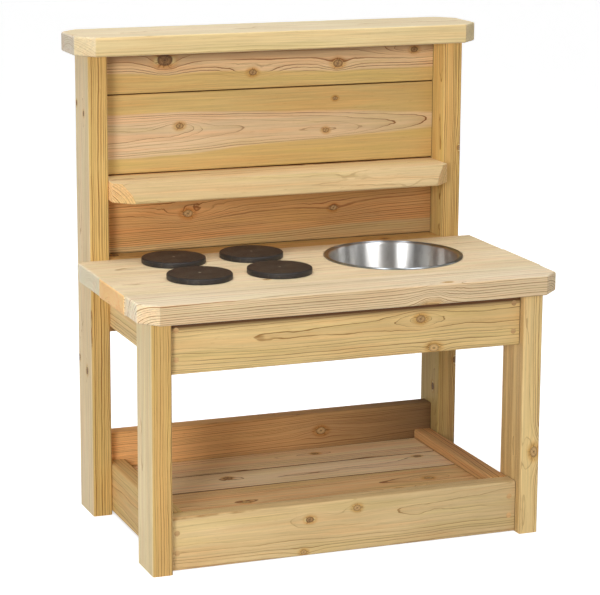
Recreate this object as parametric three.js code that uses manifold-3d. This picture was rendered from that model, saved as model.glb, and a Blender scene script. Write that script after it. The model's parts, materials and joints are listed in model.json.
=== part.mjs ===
// A child's outdoor play kitchen of planed softwood: four uprights carry a worktop with a lift-out
// steel bowl and four hob discs, a boarded back with a shelf and a cap, and a low storage tray.
//
// Millimetres. +X runs to the right and +Z up; +Y runs to the back. The origin is on the floor, under
// the middle of the whole piece.

import * as THREE from 'three';
import { mergeVertices } from 'three/addons/utils/BufferGeometryUtils.js';
import Module from 'manifold-3d';

const wasm = await Module();
wasm.setup();

// Timber

const timber = 44;            // thickness of every board
const uprightWidth = 46;      // uprights, side to side
const panelBoard = 183;       // boards of the back
const narrowBoard = 122;      // front worktop board, apron and rear tray slat
const railBoard = 114;        // side rails and tray sides
const uprightDepth = 108;     // uprights, front to back
const arris = 5;              // rounded long edges
const jointEase = 1.6;        // edges where two boards meet
const endEase = 1.2;          // sawn ends
const fit = 0.3;              // clearance between pieces that touch

// The whole stand

const worktopWidth = 975;
const worktopHeight = 603;    // top face above the floor
const postHeight = 1068;
const endOverhang = 30.5;     // worktop and cap past the uprights
const frontOverhang = 37;     // worktop past the legs
const capOverhang = 38;       // cap in front of the back uprights
const cornerClip = 40;        // 45 degree corners of worktop and cap
const boardSetback = 22;      // apron and tray front behind the legs' faces
const middleProud = 3;        // middle worktop board past the ends of its neighbours

// Back and shelf

const leastStrip = 25;        // a narrower strip is not fitted above the last whole board
const shelfHeight = 783.5;    // top of the shelf above the floor
const shelfReach = 132;       // shelf in front of the back boards
const shelfBevelRun = 19;
const shelfBevelDrop = 24.5;
const shelfNoseLean = 5;      // how far the nose leans out below the bevel
const shelfNoseEase = 4;
const shelfCornerCut = 42;

// Tray

const trayTop = 120;
const floorGap = 1;           // tray boards above the floor
const slatDrop = 20;          // slats below the tray's top edge
const slatGap = 1.6;
const cleatHeight = 38;
const cleatWidth = 38;

// Plugs over the screws in the front boards

const plugDiameter = 14;
const plugDepth = 10;
const plugEase = 0.8;
const plugFloor = 1.5;        // space under a plug for the screw's head
const plugInset = 16;         // from the uprights' inner faces to the plugs' axes
const apronPlugPitch = 64;
const trayPlugPitch = 45;

// Hob discs

const discRadius = 73;
const discThickness = 13;
const discTopEase = 3.5;
const discFootEase = 1.2;
const discRowOffset = 20;     // disc centres behind the middle of their boards
const pipRadius = 1.6;        // moulded pip in the middle of a disc
const pipHeight = 0.8;

// Bowl

const bowlRimRadius = 160;
const bowlFlange = 12;        // flat rim outside the wall
const bowlTaper = 7;          // how far the wall comes in down to the bottom curve
const bowlDepth = 125;
const bowlCornerRadius = 42;
const bowlSheet = 1.2;
const bowlBeadRadius = 2;     // rolled rim
const bowlShoulderRadius = 4;
const bowlClearance = 2;      // between the wall and its opening
const bowlJointOffset = 14;   // bowl's centre behind the joint of the wide boards
const bowlLand = 20;          // timber left behind the bowl's opening

// The free length of the worktop, shared out between its left end, the discs and the bowl's rim, with a
// little left between the bowl's opening and the right rail.
const leftEndShare = 0.522;
const betweenDiscsShare = 0.159;
const beforeBowlShare = 0.305;

const overrun = 20;           // how far a cutting shape runs past what it cuts

// Smoothness of round forms
const arrisSteps = 3;
const bowlSteps = 60;
const discSteps = 48;
const plugSteps = 24;

// Places that follow from the sizes

const postOuter = worktopWidth / 2 - endOverhang;
const postInner = postOuter - uprightWidth;
const railInner = postInner - timber;
const underTop = worktopHeight - timber;

const bowlWallRadius = bowlRimRadius - bowlFlange;    // outside of the wall, at its top
const bowlFootRadius = bowlWallRadius - bowlTaper;
const bowlOpeningRadius = bowlWallRadius + bowlClearance;

// Wide boards, of the worktop and the cap: the rear one must reach past the bowl's opening.
const wideBoard = bowlJointOffset + bowlOpeningRadius + bowlLand;

const worktopReach = narrowBoard + 2 * wideBoard;
const capRearOverhang = wideBoard - capOverhang - uprightDepth;
const rearMost = Math.max(capRearOverhang, 0);
const wholeDepth = worktopReach + uprightDepth + rearMost;
const worktopFront = -wholeDepth / 2;
const postFront = worktopFront + worktopReach;
const postRear = postFront + uprightDepth;
const panelFront = postRear - timber;
const legFront = worktopFront + frontOverhang;
const legRear = legFront + uprightDepth;
const apronFront = legFront + boardSetback;
const apronRear = apronFront + timber;
const trayBackRear = postRear - boardSetback;
const trayBackFront = trayBackRear - timber;
const wideJoint = worktopFront + narrowBoard + wideBoard;

// Looks of the pieces

const looks = {
  pale: { color: 0xe0cca8, roughness: 0.62 },
  golden: { color: 0xcda96a, roughness: 0.6 },
  tan: { color: 0xc49a68, roughness: 0.6 },
  brown: { color: 0xa5744a, roughness: 0.62 },
  heart: { color: 0x8c6238, roughness: 0.66 },
  plug: { color: 0xb98e5c, roughness: 0.7 },
  rubber: { color: 0x322b26, roughness: 0.45 },
  steel: { color: 0xc9cacb, roughness: 0.24, metalness: 1 },
};

const kitchen = new THREE.Group();

function place(name, look, geometry, x, y, z) {
  const material = new THREE.MeshStandardMaterial({ metalness: 0, ...looks[look] });
  const mesh = new THREE.Mesh(geometry, material);
  mesh.name = name;
  mesh.position.set(x, y, z);
  kitchen.add(mesh);
}

// Cutting and joining of closed shapes

function toSolid(geometry) {
  const bare = geometry.clone();
  bare.deleteAttribute('normal');
  bare.deleteAttribute('uv');
  const merged = mergeVertices(bare);
  return new wasm.Manifold(new wasm.Mesh({
    numProp: 3,
    vertProperties: merged.attributes.position.array,
    triVerts: new Uint32Array(merged.index.array),
  }));
}

function toGeometry(solid) {
  const mesh = solid.getMesh();
  const geometry = new THREE.BufferGeometry();
  geometry.setAttribute('position', new THREE.BufferAttribute(mesh.vertProperties, 3));
  geometry.setIndex(new THREE.BufferAttribute(mesh.triVerts, 1));
  return geometry;
}

function subtract(geometry, ...cutters) {
  let solid = toSolid(geometry);
  for (const cutter of cutters) {
    solid = solid.subtract(toSolid(cutter));
  }
  return toGeometry(solid);
}

function intersect(first, second) {
  return toGeometry(toSolid(first).intersect(toSolid(second)));
}

// A span is a pair [low, high] along one axis.
const length = (span) => span[1] - span[0];
const middle = (span) => (span[0] + span[1]) / 2;

// Turns a shape drawn across the grain and pushed along +Z so that its length lies along the grain.
const grainTurns = {
  x: new THREE.Matrix4().makeBasis(
    new THREE.Vector3(0, 1, 0), new THREE.Vector3(0, 0, 1), new THREE.Vector3(1, 0, 0)),
  y: new THREE.Matrix4().makeBasis(
    new THREE.Vector3(0, 0, 1), new THREE.Vector3(1, 0, 0), new THREE.Vector3(0, 1, 0)),
  z: new THREE.Matrix4(),
};
const sectionAxes = { x: ['y', 'z'], y: ['z', 'x'], z: ['x', 'y'] };

// A rectangle about the origin with a radius for each corner, from the low corner anticlockwise.
function roundedRectangle(width, height, radii) {
  const corners = [[-1, -1], [1, -1], [1, 1], [-1, 1]];
  const shape = new THREE.Shape();
  corners.forEach(([sideX, sideY], i) => {
    const centreX = sideX * (width / 2 - radii[i]);
    const centreY = sideY * (height / 2 - radii[i]);
    const start = Math.PI + i * Math.PI / 2;
    shape.absarc(centreX, centreY, radii[i], start, start + Math.PI / 2, false);
  });
  return shape;
}

// A shape pushed along +Z about the origin, with eased ends.
function push(shape, depth, ease, easeSteps) {
  const geometry = new THREE.ExtrudeGeometry(shape, {
    depth: depth - 2 * ease,
    curveSegments: arrisSteps,
    bevelEnabled: ease > 0,
    bevelSize: ease,
    bevelOffset: -ease,
    bevelThickness: ease,
    bevelSegments: easeSteps,
  });
  geometry.translate(0, 0, ease - depth / 2);
  return geometry;
}

// A planed board about the origin: rounded along its grain, lightly eased at its sawn ends.
function plankGeometry(spans, grain, radii = [arris, arris, arris, arris], ease = endEase) {
  const [across, up] = sectionAxes[grain];
  const section = roundedRectangle(length(spans[across]), length(spans[up]), radii);
  const geometry = push(section, length(spans[grain]), ease, 1);
  geometry.applyMatrix4(grainTurns[grain]);
  return geometry;
}

function plank(name, look, grain, x, y, z) {
  place(name, look, plankGeometry({ x, y, z }, grain), middle(x), middle(y), middle(z));
}

// The plan of a board whose ends are kept and whose corners are cut off at 45 degrees. The plan runs
// past the long edges, so it only cuts the ends. A clip is set for the front and for the rear corners.
function clippedPlan(x, y, frontClip, rearClip) {
  const halfX = length(x) / 2;
  const halfY = length(y) / 2;
  const outY = halfY + overrun;
  const cutFront = frontClip > 0 ? frontClip + overrun : 0;
  const cutRear = rearClip > 0 ? rearClip + overrun : 0;
  const yFront = frontClip > 0 ? frontClip - halfY : -outY;
  const yRear = rearClip > 0 ? halfY - rearClip : outY;
  const points = [
    [-halfX + cutFront, -outY],
    [halfX - cutFront, -outY],
    [halfX, yFront],
    [halfX, yRear],
    [halfX - cutRear, outY],
    [-halfX + cutRear, outY],
    [-halfX, yRear],
    [-halfX, yFront],
  ];
  const distinct = points.filter(([px, py], i) => {
    const [qx, qy] = points[(i + 1) % points.length];
    return px !== qx || py !== qy;
  });
  return new THREE.Shape(distinct.map(([px, py]) => new THREE.Vector2(px, py)));
}

// A board along X whose ends and clipped corners are rounded like its long edges.
function topBoardGeometry(x, y, z, radii, frontClip, rearClip) {
  const longer = [x[0] - overrun, x[1] + overrun];
  const bar = plankGeometry({ x: longer, y, z }, 'x', radii, 0);
  const plan = push(clippedPlan(x, y, frontClip, rearClip), length(z), arris, arrisSteps);
  return intersect(bar, plan);
}

// Uprights

const sides = [['left', -1], ['right', 1]];

function sideSpan(side, inner, outer) {
  return side < 0 ? [-outer, -inner] : [inner, outer];
}

for (const [word, side] of sides) {
  const across = sideSpan(side, postInner, postOuter);
  plank(`back_post_${word}`, 'pale', 'z', across, [postFront, postRear], [0, postHeight - fit]);
  plank(`front_leg_${word}`, 'golden', 'z', across, [legFront, legRear], [0, underTop - fit]);
}

// Back boards, from the one below the worktop up to a strip that reaches the cap

const betweenPosts = [-postInner + fit, postInner - fit];

let panelCount = 0;
let panelFoot = worktopHeight - panelBoard;
while (postHeight - panelFoot > leastStrip) {
  const panelHead = Math.min(panelFoot + panelBoard, postHeight);
  panelCount += 1;
  plank(`panel_board_${panelCount}`, panelCount > 2 ? 'tan' : 'brown', 'x',
    betweenPosts, [panelFront, postRear], [panelFoot, panelHead - fit]);
  panelFoot = panelHead;
}

// Shelf: a bevelled nose pushed along X, with both front corners cut off in plan

function shelfGeometry() {
  const nose = new THREE.Shape();
  nose.moveTo(0, 0);
  nose.lineTo(0, -timber);
  nose.lineTo(shelfNoseEase - shelfReach, -timber);
  nose.quadraticCurveTo(-shelfReach, -timber, -shelfReach, shelfNoseEase - timber);
  nose.lineTo(shelfNoseLean - shelfReach, -shelfBevelDrop);
  nose.lineTo(shelfNoseLean + shelfBevelRun - shelfReach, 0);
  const halfWidth = length(betweenPosts) / 2;
  const bar = push(nose, length(betweenPosts) + 2 * overrun, 0, 1);
  bar.applyMatrix4(grainTurns.x);
  const plan = clippedPlan(betweenPosts, [-shelfReach, 0], shelfCornerCut, 0);
  const cut = push(plan, timber + 2 * overrun, 0, 1);
  cut.translate(0, -shelfReach / 2, -timber / 2);
  return intersect(bar, cut);
}
place('shelf', 'pale', shelfGeometry(), 0, panelFront - fit, shelfHeight);

// Cap

const fullWidth = [-worktopWidth / 2, worktopWidth / 2];
const allRounded = [arris, arris, arris, arris];
const capSpan = [postFront - capOverhang, postFront - capOverhang + wideBoard];
const capHeight = [postHeight, postHeight + timber];
place('cap', 'pale', topBoardGeometry(fullWidth, capSpan, capHeight, allRounded, cornerClip, cornerClip),
  0, middle(capSpan), middle(capHeight));

// Worktop: three boards in front of the uprights and an infill strip between them, with a round opening
// for the bowl through whichever boards it meets

const freeLength = worktopWidth / 2 + railInner - 4 * discRadius - bowlRimRadius - bowlOpeningRadius;
const firstDiscX = -worktopWidth / 2 + leftEndShare * freeLength + discRadius;
const secondDiscX = firstDiscX + 2 * discRadius + betweenDiscsShare * freeLength;
const bowlX = secondDiscX + discRadius + beforeBowlShare * freeLength + bowlRimRadius;
const bowlY = wideJoint + bowlJointOffset;

const worktopZ = [underTop, worktopHeight];
const bowlOpening = new THREE.CylinderGeometry(
  bowlOpeningRadius, bowlOpeningRadius, timber + 2 * overrun, bowlSteps);
bowlOpening.rotateX(Math.PI / 2);

function worktopBoard(name, look, x, y, radii, frontClip) {
  const board = frontClip === null
    ? plankGeometry({ x, y, z: worktopZ }, 'x', radii)
    : topBoardGeometry(x, y, worktopZ, radii, frontClip, 0);
  const opening = bowlOpening.clone();
  opening.translate(bowlX - middle(x), bowlY - middle(y), 0);
  place(name, look, subtract(board, opening), middle(x), middle(y), middle(worktopZ));
}

const frontRounded = [arris, jointEase, jointEase, arris];
const jointed = [jointEase, jointEase, jointEase, jointEase];
const middleWidth = [fullWidth[0] - middleProud, fullWidth[1] + middleProud];
worktopBoard('worktop_board_front', 'pale', fullWidth,
  [worktopFront, worktopFront + narrowBoard - fit], frontRounded, cornerClip);
worktopBoard('worktop_board_middle', 'pale', middleWidth,
  [wideJoint - wideBoard, wideJoint - fit], jointed, 0);
worktopBoard('worktop_board_rear', 'pale', fullWidth,
  [wideJoint, postFront - fit], jointed, 0);
worktopBoard('worktop_infill', 'tan', betweenPosts,
  [postFront, panelFront - fit], jointed, null);

// Boards with plugged screws: each plug fills a blind hole from the front, over the end of the side
// board behind

const plugX = postInner - plugInset;
const plugHole = new THREE.CylinderGeometry(
  plugDiameter / 2 + fit, plugDiameter / 2 + fit, plugDepth + plugFloor + overrun, plugSteps);
plugHole.translate(0, overrun / 2 - (plugDepth + plugFloor) / 2, 0);
plugHole.rotateX(Math.PI);

function plugGeometry() {
  const radius = plugDiameter / 2;
  const profile = [
    new THREE.Vector2(0, 0),
    new THREE.Vector2(radius, 0),
    new THREE.Vector2(radius, plugDepth - plugEase),
    new THREE.Vector2(radius - plugEase, plugDepth),
    new THREE.Vector2(0, plugDepth),
  ];
  const geometry = new THREE.LatheGeometry(profile, plugSteps);
  geometry.translate(0, -plugDepth, 0);
  geometry.rotateX(Math.PI);
  return geometry;
}

function pluggedBoard(name, look, y, z, plugMiddle, plugPitch) {
  const holes = [];
  for (const [word, side] of sides) {
    for (const [level, step] of [['lower', -1], ['upper', 1]]) {
      const plugZ = plugMiddle + step * plugPitch / 2;
      const hole = plugHole.clone();
      hole.translate(side * plugX, y[0] - middle(y), plugZ - middle(z));
      holes.push(hole);
      place(`${name}_plug_${word}_${level}`, 'plug', plugGeometry(), side * plugX, y[0], plugZ);
    }
  }
  const board = plankGeometry({ x: betweenPosts, y, z }, 'x');
  place(name, look, subtract(board, ...holes), middle(betweenPosts), middle(y), middle(z));
}

const apronZ = [underTop - narrowBoard, underTop - fit];
const railZ = [underTop - railBoard, underTop - fit];
pluggedBoard('front_apron', 'golden', [apronFront, apronRear - fit], apronZ, middle(railZ), apronPlugPitch);

for (const [word, side] of sides) {
  const across = sideSpan(side, railInner, postInner - fit);
  plank(`side_rail_${word}`, 'golden', 'y', across, [apronRear, panelFront - fit], railZ);
}

// Tray: four boards on edge, cleats along its sides and slats laid on them

const traySideZ = [trayTop - railBoard, trayTop];
pluggedBoard('tray_front', 'golden', [apronFront, apronRear - fit], [floorGap, trayTop],
  middle(traySideZ), trayPlugPitch);
plank('tray_back', 'heart', 'x', betweenPosts, [trayBackFront, trayBackRear],
  [floorGap, floorGap + panelBoard]);

const slatTop = trayTop - slatDrop;
const slatZ = [slatTop - timber, slatTop];
const cleatZ = [slatZ[0] - cleatHeight, slatZ[0] - fit];
const trayInside = [apronRear, trayBackFront - fit];
for (const [word, side] of sides) {
  plank(`tray_side_${word}`, 'tan', 'y', sideSpan(side, railInner, postInner - fit), trayInside, traySideZ);
  plank(`tray_cleat_${word}`, 'tan', 'y', sideSpan(side, railInner - cleatWidth, railInner - fit),
    trayInside, cleatZ);
}

const slatX = [-railInner + slatGap, railInner - slatGap];
const slatRoom = [apronRear + slatGap, trayBackFront - slatGap];
const slatEdges = [slatRoom[0], slatRoom[0] + wideBoard, slatRoom[1] - narrowBoard, slatRoom[1]];
for (let i = 0; i < 3; i += 1) {
  const near = slatEdges[i] + (i > 0 ? slatGap : 0);
  plank(`tray_slat_${i + 1}`, i === 1 ? 'brown' : 'tan', 'x', slatX, [near, slatEdges[i + 1]], slatZ);
}

// Hob discs, two in each row, each row a little behind the middle of its board

function discGeometry() {
  const profile = [
    new THREE.Vector2(0, 0),
    new THREE.Vector2(discRadius - discFootEase, 0),
    new THREE.Vector2(discRadius, discFootEase),
    new THREE.Vector2(discRadius, discThickness - discTopEase),
  ];
  for (let i = 1; i <= arrisSteps; i += 1) {
    const angle = i / arrisSteps * Math.PI / 2;
    profile.push(new THREE.Vector2(
      discRadius - discTopEase + discTopEase * Math.cos(angle),
      discThickness - discTopEase + discTopEase * Math.sin(angle)));
  }
  profile.push(
    new THREE.Vector2(pipRadius, discThickness),
    new THREE.Vector2(pipRadius / 2, discThickness + pipHeight),
    new THREE.Vector2(0, discThickness + pipHeight));
  const geometry = new THREE.LatheGeometry(profile, discSteps);
  geometry.rotateX(Math.PI / 2);
  return geometry;
}

const discColumns = [['left', firstDiscX], ['right', secondDiscX]];
const discRows = [
  ['front', wideJoint - wideBoard / 2 + discRowOffset],
  ['rear', wideJoint + wideBoard / 2 + discRowOffset],
];
for (const [row, y] of discRows) {
  for (const [column, x] of discColumns) {
    place(`hob_disc_${row}_${column}`, 'rubber', discGeometry(), x, y, worktopHeight + fit);
  }
}

// Bowl: one sheet, up the outside, round the rolled rim and down the inside. Its origin is the middle of
// the rim's foot, which rests on the worktop

function arc(centre, radius, from, to, steps) {
  const points = [];
  for (let i = 0; i <= steps; i += 1) {
    const angle = from + (to - from) * i / steps;
    points.push(new THREE.Vector2(
      centre.x + radius * Math.cos(angle), centre.y + radius * Math.sin(angle)));
  }
  return points;
}

function bowlGeometry() {
  const quarter = Math.PI / 2;
  const flangeFoot = bowlBeadRadius - bowlSheet / 2;
  const shoulder = new THREE.Vector2(bowlWallRadius + bowlShoulderRadius, flangeFoot - bowlShoulderRadius);
  const corner = new THREE.Vector2(bowlFootRadius - bowlCornerRadius, bowlCornerRadius - bowlDepth);
  const bead = new THREE.Vector2(bowlRimRadius - bowlBeadRadius, bowlBeadRadius);
  const beadStart = Math.asin(bowlSheet / 2 / bowlBeadRadius);
  const profile = [
    new THREE.Vector2(0, -bowlDepth),
    ...arc(corner, bowlCornerRadius, -quarter, 0, 6),
    ...arc(shoulder, bowlShoulderRadius, 2 * quarter, quarter, 3),
    ...arc(bead, bowlBeadRadius, -2 * quarter + beadStart, 2 * quarter - beadStart, 9),
    ...arc(shoulder, bowlShoulderRadius + bowlSheet, quarter, 2 * quarter, 3),
    ...arc(corner, bowlCornerRadius - bowlSheet, 0, -quarter, 6),
    new THREE.Vector2(0, bowlSheet - bowlDepth),
  ];
  const geometry = new THREE.LatheGeometry(profile, bowlSteps);
  geometry.rotateX(Math.PI / 2);
  return geometry;
}
place('bowl', 'steel', bowlGeometry(), bowlX, bowlY, worktopHeight + fit);

export default kitchen;
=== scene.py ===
"""The look of a child's outdoor play kitchen: planed softwood, moulded hob discs and a spun steel bowl.

Everything is in metres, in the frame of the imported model: +X to the right, +Y to the back, +Z up. Each
board takes its place and size from the solid that it stands for, and its growth rings and knots from
numbers measured on the board itself, along its grain and across it from its middle.
"""

from __future__ import annotations

import json
import logging
import math
from dataclasses import dataclass
from enum import Enum

import bpy
import numpy as np
from mathutils import Matrix, Vector

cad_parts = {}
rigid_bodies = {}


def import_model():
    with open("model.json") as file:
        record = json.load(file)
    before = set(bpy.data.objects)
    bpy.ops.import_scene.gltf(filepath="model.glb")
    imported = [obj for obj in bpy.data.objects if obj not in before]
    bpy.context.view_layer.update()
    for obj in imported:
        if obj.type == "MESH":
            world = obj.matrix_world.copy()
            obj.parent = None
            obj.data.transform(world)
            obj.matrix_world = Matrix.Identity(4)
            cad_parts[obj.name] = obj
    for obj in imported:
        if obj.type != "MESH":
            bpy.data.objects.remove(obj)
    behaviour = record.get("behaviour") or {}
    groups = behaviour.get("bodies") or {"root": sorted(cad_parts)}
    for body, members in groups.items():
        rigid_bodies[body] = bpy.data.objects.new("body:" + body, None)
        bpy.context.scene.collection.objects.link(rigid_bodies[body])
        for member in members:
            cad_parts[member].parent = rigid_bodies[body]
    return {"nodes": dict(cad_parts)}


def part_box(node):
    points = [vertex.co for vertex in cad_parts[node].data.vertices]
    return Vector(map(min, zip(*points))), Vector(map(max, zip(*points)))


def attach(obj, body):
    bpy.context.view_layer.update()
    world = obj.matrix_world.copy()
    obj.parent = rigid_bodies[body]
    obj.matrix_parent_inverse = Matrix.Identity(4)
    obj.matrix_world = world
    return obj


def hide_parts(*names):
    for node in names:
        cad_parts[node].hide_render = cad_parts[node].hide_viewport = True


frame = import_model()

LOG = logging.getLogger("play_kitchen")
MM = 0.001

FIRST_DISC_SEED = 60
NEARLY_STRAIGHT = 0.05
SAME_PLACE = 1e-9
CORNER_SHRINK = 0.8
UNIT = Matrix.Identity(3)
ABOUT_Z = (1.0, 1.0, 0.0)
ABOUT_Y = (1.0, 0.0, 1.0)

Colour = tuple[float, float, float]
Stretch = tuple[float, float, float]
Numbers = tuple[float, ...]
Faces = list[tuple[int, ...]]
Socket = bpy.types.NodeSocket


def srgb(red: int, green: int, blue: int) -> Colour:
    """Turn screen values from 0 to 255 into the linear values that shaders use.

    Args:
        red: Red on screen.
        green: Green on screen.
        blue: Blue on screen.

    Returns:
        The colour in linear light.
    """
    parts = np.array([red, green, blue]) / 255.0
    linear = np.where(parts <= 0.04045, parts / 12.92, ((parts + 0.055) / 1.055) ** 2.4)
    return tuple(float(part) for part in linear)


# Meshes


def make_piece(name: str, vertices: np.ndarray, faces: Faces, body: str, stands_for: str,
               material: bpy.types.Material, sharp: float = 32.0) -> bpy.types.Object:
    """Make an object from points and faces, dress it, tie it to the frame and report it.

    Args:
        name: The object's name.
        vertices: Points, one row each.
        faces: Corner numbers of each face.
        body: The moving body that the piece rides on.
        stands_for: The solid that the piece replaces.
        material: The piece's material.
        sharp: Edges that turn by more than this many degrees are shaded sharp.

    Returns:
        The new object.
    """
    mesh = bpy.data.meshes.new(name)
    mesh.from_pydata(vertices.tolist(), [], faces)
    mesh.validate()
    mesh.polygons.foreach_set("use_smooth", np.ones(len(mesh.polygons), dtype=bool))
    mesh.set_sharp_from_angle(angle=math.radians(sharp))
    mesh.materials.append(material)
    piece = bpy.data.objects.new(name, mesh)
    bpy.context.scene.collection.objects.link(piece)
    weigh = piece.modifiers.new("weighted normals", "WEIGHTED_NORMAL")
    weigh.keep_sharp = True
    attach(piece, body)
    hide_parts(stands_for)
    LOG.info("%s: %d faces", name, len(faces))
    return piece


def arc_points(centre: tuple[float, float], radius: float, start: float, end: float,
               steps: int) -> np.ndarray:
    """Points on an arc: centre + radius (cos a, sin a), with a in even steps from start to end.

    Args:
        centre: The arc's centre.
        radius: Its radius.
        start: First angle in radians.
        end: Last angle in radians.
        steps: How many steps the arc has.

    Returns:
        One row for each point.
    """
    angle = np.linspace(start, end, steps + 1)
    return np.stack([centre[0] + radius * np.cos(angle), centre[1] + radius * np.sin(angle)], axis=1)


def rounded_rectangle(width: float, height: float, radius: float, steps: int) -> np.ndarray:
    """Outline of a rectangle about the origin with round corners, anticlockwise.

    Args:
        width: Size along the first axis.
        height: Size along the second axis.
        radius: Radius of the corners.
        steps: Steps in each corner.

    Returns:
        One row for each point.
    """
    corners = []
    for turn, (side_x, side_y) in enumerate([(-1, -1), (1, -1), (1, 1), (-1, 1)]):
        centre = (side_x * (width / 2 - radius), side_y * (height / 2 - radius))
        start = math.pi + turn * math.pi / 2
        corners.append(arc_points(centre, radius, start, start + math.pi / 2, steps))
    return np.concatenate(corners)


def inset(outline: np.ndarray, depth: np.ndarray) -> np.ndarray:
    """Move each edge of a closed outline inwards by its own depth.

    A corner moves to where its two moved edges cross: it shifts by q, with n1.q = d1 and n2.q = d2 for
    the inward normals n and depths d of the edges before and after it. Where the two edges are nearly
    in line, q is their mean normal times their mean depth.

    Args:
        outline: Corners, anticlockwise.
        depth: How far each edge moves, for the edge that starts at the same corner.

    Returns:
        The moved corners.
    """
    edge = np.roll(outline, -1, axis=0) - outline
    edge /= np.linalg.norm(edge, axis=1, keepdims=True)
    after = np.stack([-edge[:, 1], edge[:, 0]], axis=1)
    before = np.roll(after, 1, axis=0)
    depth_before = np.roll(depth, 1)
    turn = before[:, 0] * after[:, 1] - before[:, 1] * after[:, 0]
    straight = np.abs(turn) < NEARLY_STRAIGHT
    safe = np.where(straight, 1.0, turn)
    shift = np.stack([
        (depth_before * after[:, 1] - depth * before[:, 1]) / safe,
        (depth * before[:, 0] - depth_before * after[:, 0]) / safe,
    ], axis=1)
    mean = (before + after) / 2
    mean /= np.linalg.norm(mean, axis=1, keepdims=True)
    along = mean * ((depth + depth_before) / 2)[:, None]
    return outline + np.where(straight[:, None], along, shift)


def softened(outline: np.ndarray, ease: np.ndarray, size: float, steps: int = 3,
             least_turn: float = 0.3) -> tuple[np.ndarray, np.ndarray]:
    """Round the corners of a closed outline that turn more than a little.

    Corner p between unit edges u and w becomes the quadratic curve (1-t)^2 (p - s u) + 2 t (1-t) p +
    t^2 (p + s w), with s the size, and t in even steps from 0 to 1.

    Args:
        outline: Corners, anticlockwise.
        ease: Ease of the edge after each corner.
        size: How far from its corner a curve starts.
        steps: Steps in each curve.
        least_turn: Corners that turn less than this stay as they are.

    Returns:
        The new corners, and the ease at each.
    """
    edge = np.roll(outline, -1, axis=0) - outline
    after = edge / np.linalg.norm(edge, axis=1, keepdims=True)
    before = np.roll(after, 1, axis=0)
    turns = np.abs(before[:, 0] * after[:, 1] - before[:, 1] * after[:, 0]) > least_turn
    reach = np.where(turns, size, 0.0)[:, None, None]
    share = np.linspace(0, 1, steps + 1)[None, :, None]
    corner = outline[:, None, :]
    points = ((1 - share) ** 2 * (corner - reach * before[:, None, :]) + 2 * share * (1 - share) * corner
              + share ** 2 * (corner + reach * after[:, None, :]))
    eases = np.roll(ease, 1)[:, None] * (1 - share[:, :, 0]) + ease[:, None] * share[:, :, 0]
    keep = (turns[:, None] | (np.arange(steps + 1) == steps)).reshape(-1)
    return points.reshape(-1, 2)[keep], eases.reshape(-1)[keep]


def as_faces(corners: np.ndarray) -> Faces:
    """Turn an array of corner numbers, one row for each face, into faces."""
    return [tuple(face) for face in corners.tolist()]


def bridged(rings: int, count: int) -> Faces:
    """Join each ring of points to the next one with four-cornered faces.

    Args:
        rings: How many rings there are.
        count: Points in each ring.

    Returns:
        The faces, for points numbered ring by ring.
    """
    this = np.arange(count)
    following = np.roll(this, -1)
    starts = np.arange(rings - 1)[:, None] * count
    quads = np.stack([starts + this, starts + following, starts + count + following,
                      starts + count + this], axis=-1)
    return as_faces(quads.reshape(-1, 4))


def eased_slab(outline: np.ndarray, ease: np.ndarray, low: float, high: float, steps: int,
               corner: float = 0.0, stations: np.ndarray | None = None,
               wear: np.ndarray | None = None) -> tuple[np.ndarray, Faces]:
    """Carry an outline from low to high, with both rims rounded.

    On a rim the outline is drawn in by e (1 - sin t) and stands e (1 - cos t) from the end face, with t
    in even steps from 0 to a right angle and e the ease of each edge. Between the rims it may be drawn
    in a little at set stations, which gives a planed face its slight unevenness.

    Args:
        outline: Corners, anticlockwise.
        ease: The rim's radius at the edge after each corner.
        low: Where the outline starts along its axis.
        high: Where it ends.
        steps: Steps in each rim.
        corner: Rounding of the outline's own corners, which shrinks as the outline is drawn in.
        stations: Places between the rims, or None.
        wear: How far the outline is drawn in at each station.

    Returns:
        The points, with the third axis along the slab, and the faces.
    """
    eases = (ease + np.roll(ease, 1)) / 2

    def ring(factor: float) -> np.ndarray:
        """Draw the outline in by a factor of its eases."""
        drawn = inset(outline, ease * factor)
        return softened(drawn, ease, corner * (1 - CORNER_SHRINK * factor))[0] if corner else drawn

    if corner:
        eases = softened(outline, ease, corner)[1]
    angles = np.linspace(0, math.pi / 2, steps + 1)
    rings = [np.column_stack([ring(1 - math.sin(angle)), low + eases * (1 - math.cos(angle))])
             for angle in angles]
    count = len(rings[0])
    if stations is not None:
        rings += [np.column_stack([inset(outline, np.full(count, depth)), np.full(count, place)])
                  for place, depth in zip(stations, wear)]
    rings += [np.column_stack([ring(1 - math.sin(angle)), high - eases * (1 - math.cos(angle))])
              for angle in angles[::-1]]
    last = (len(rings) - 1) * count
    caps = [tuple(range(count))[::-1], tuple(range(last, last + count))]
    return np.concatenate(rings), bridged(len(rings), count) + caps


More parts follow.
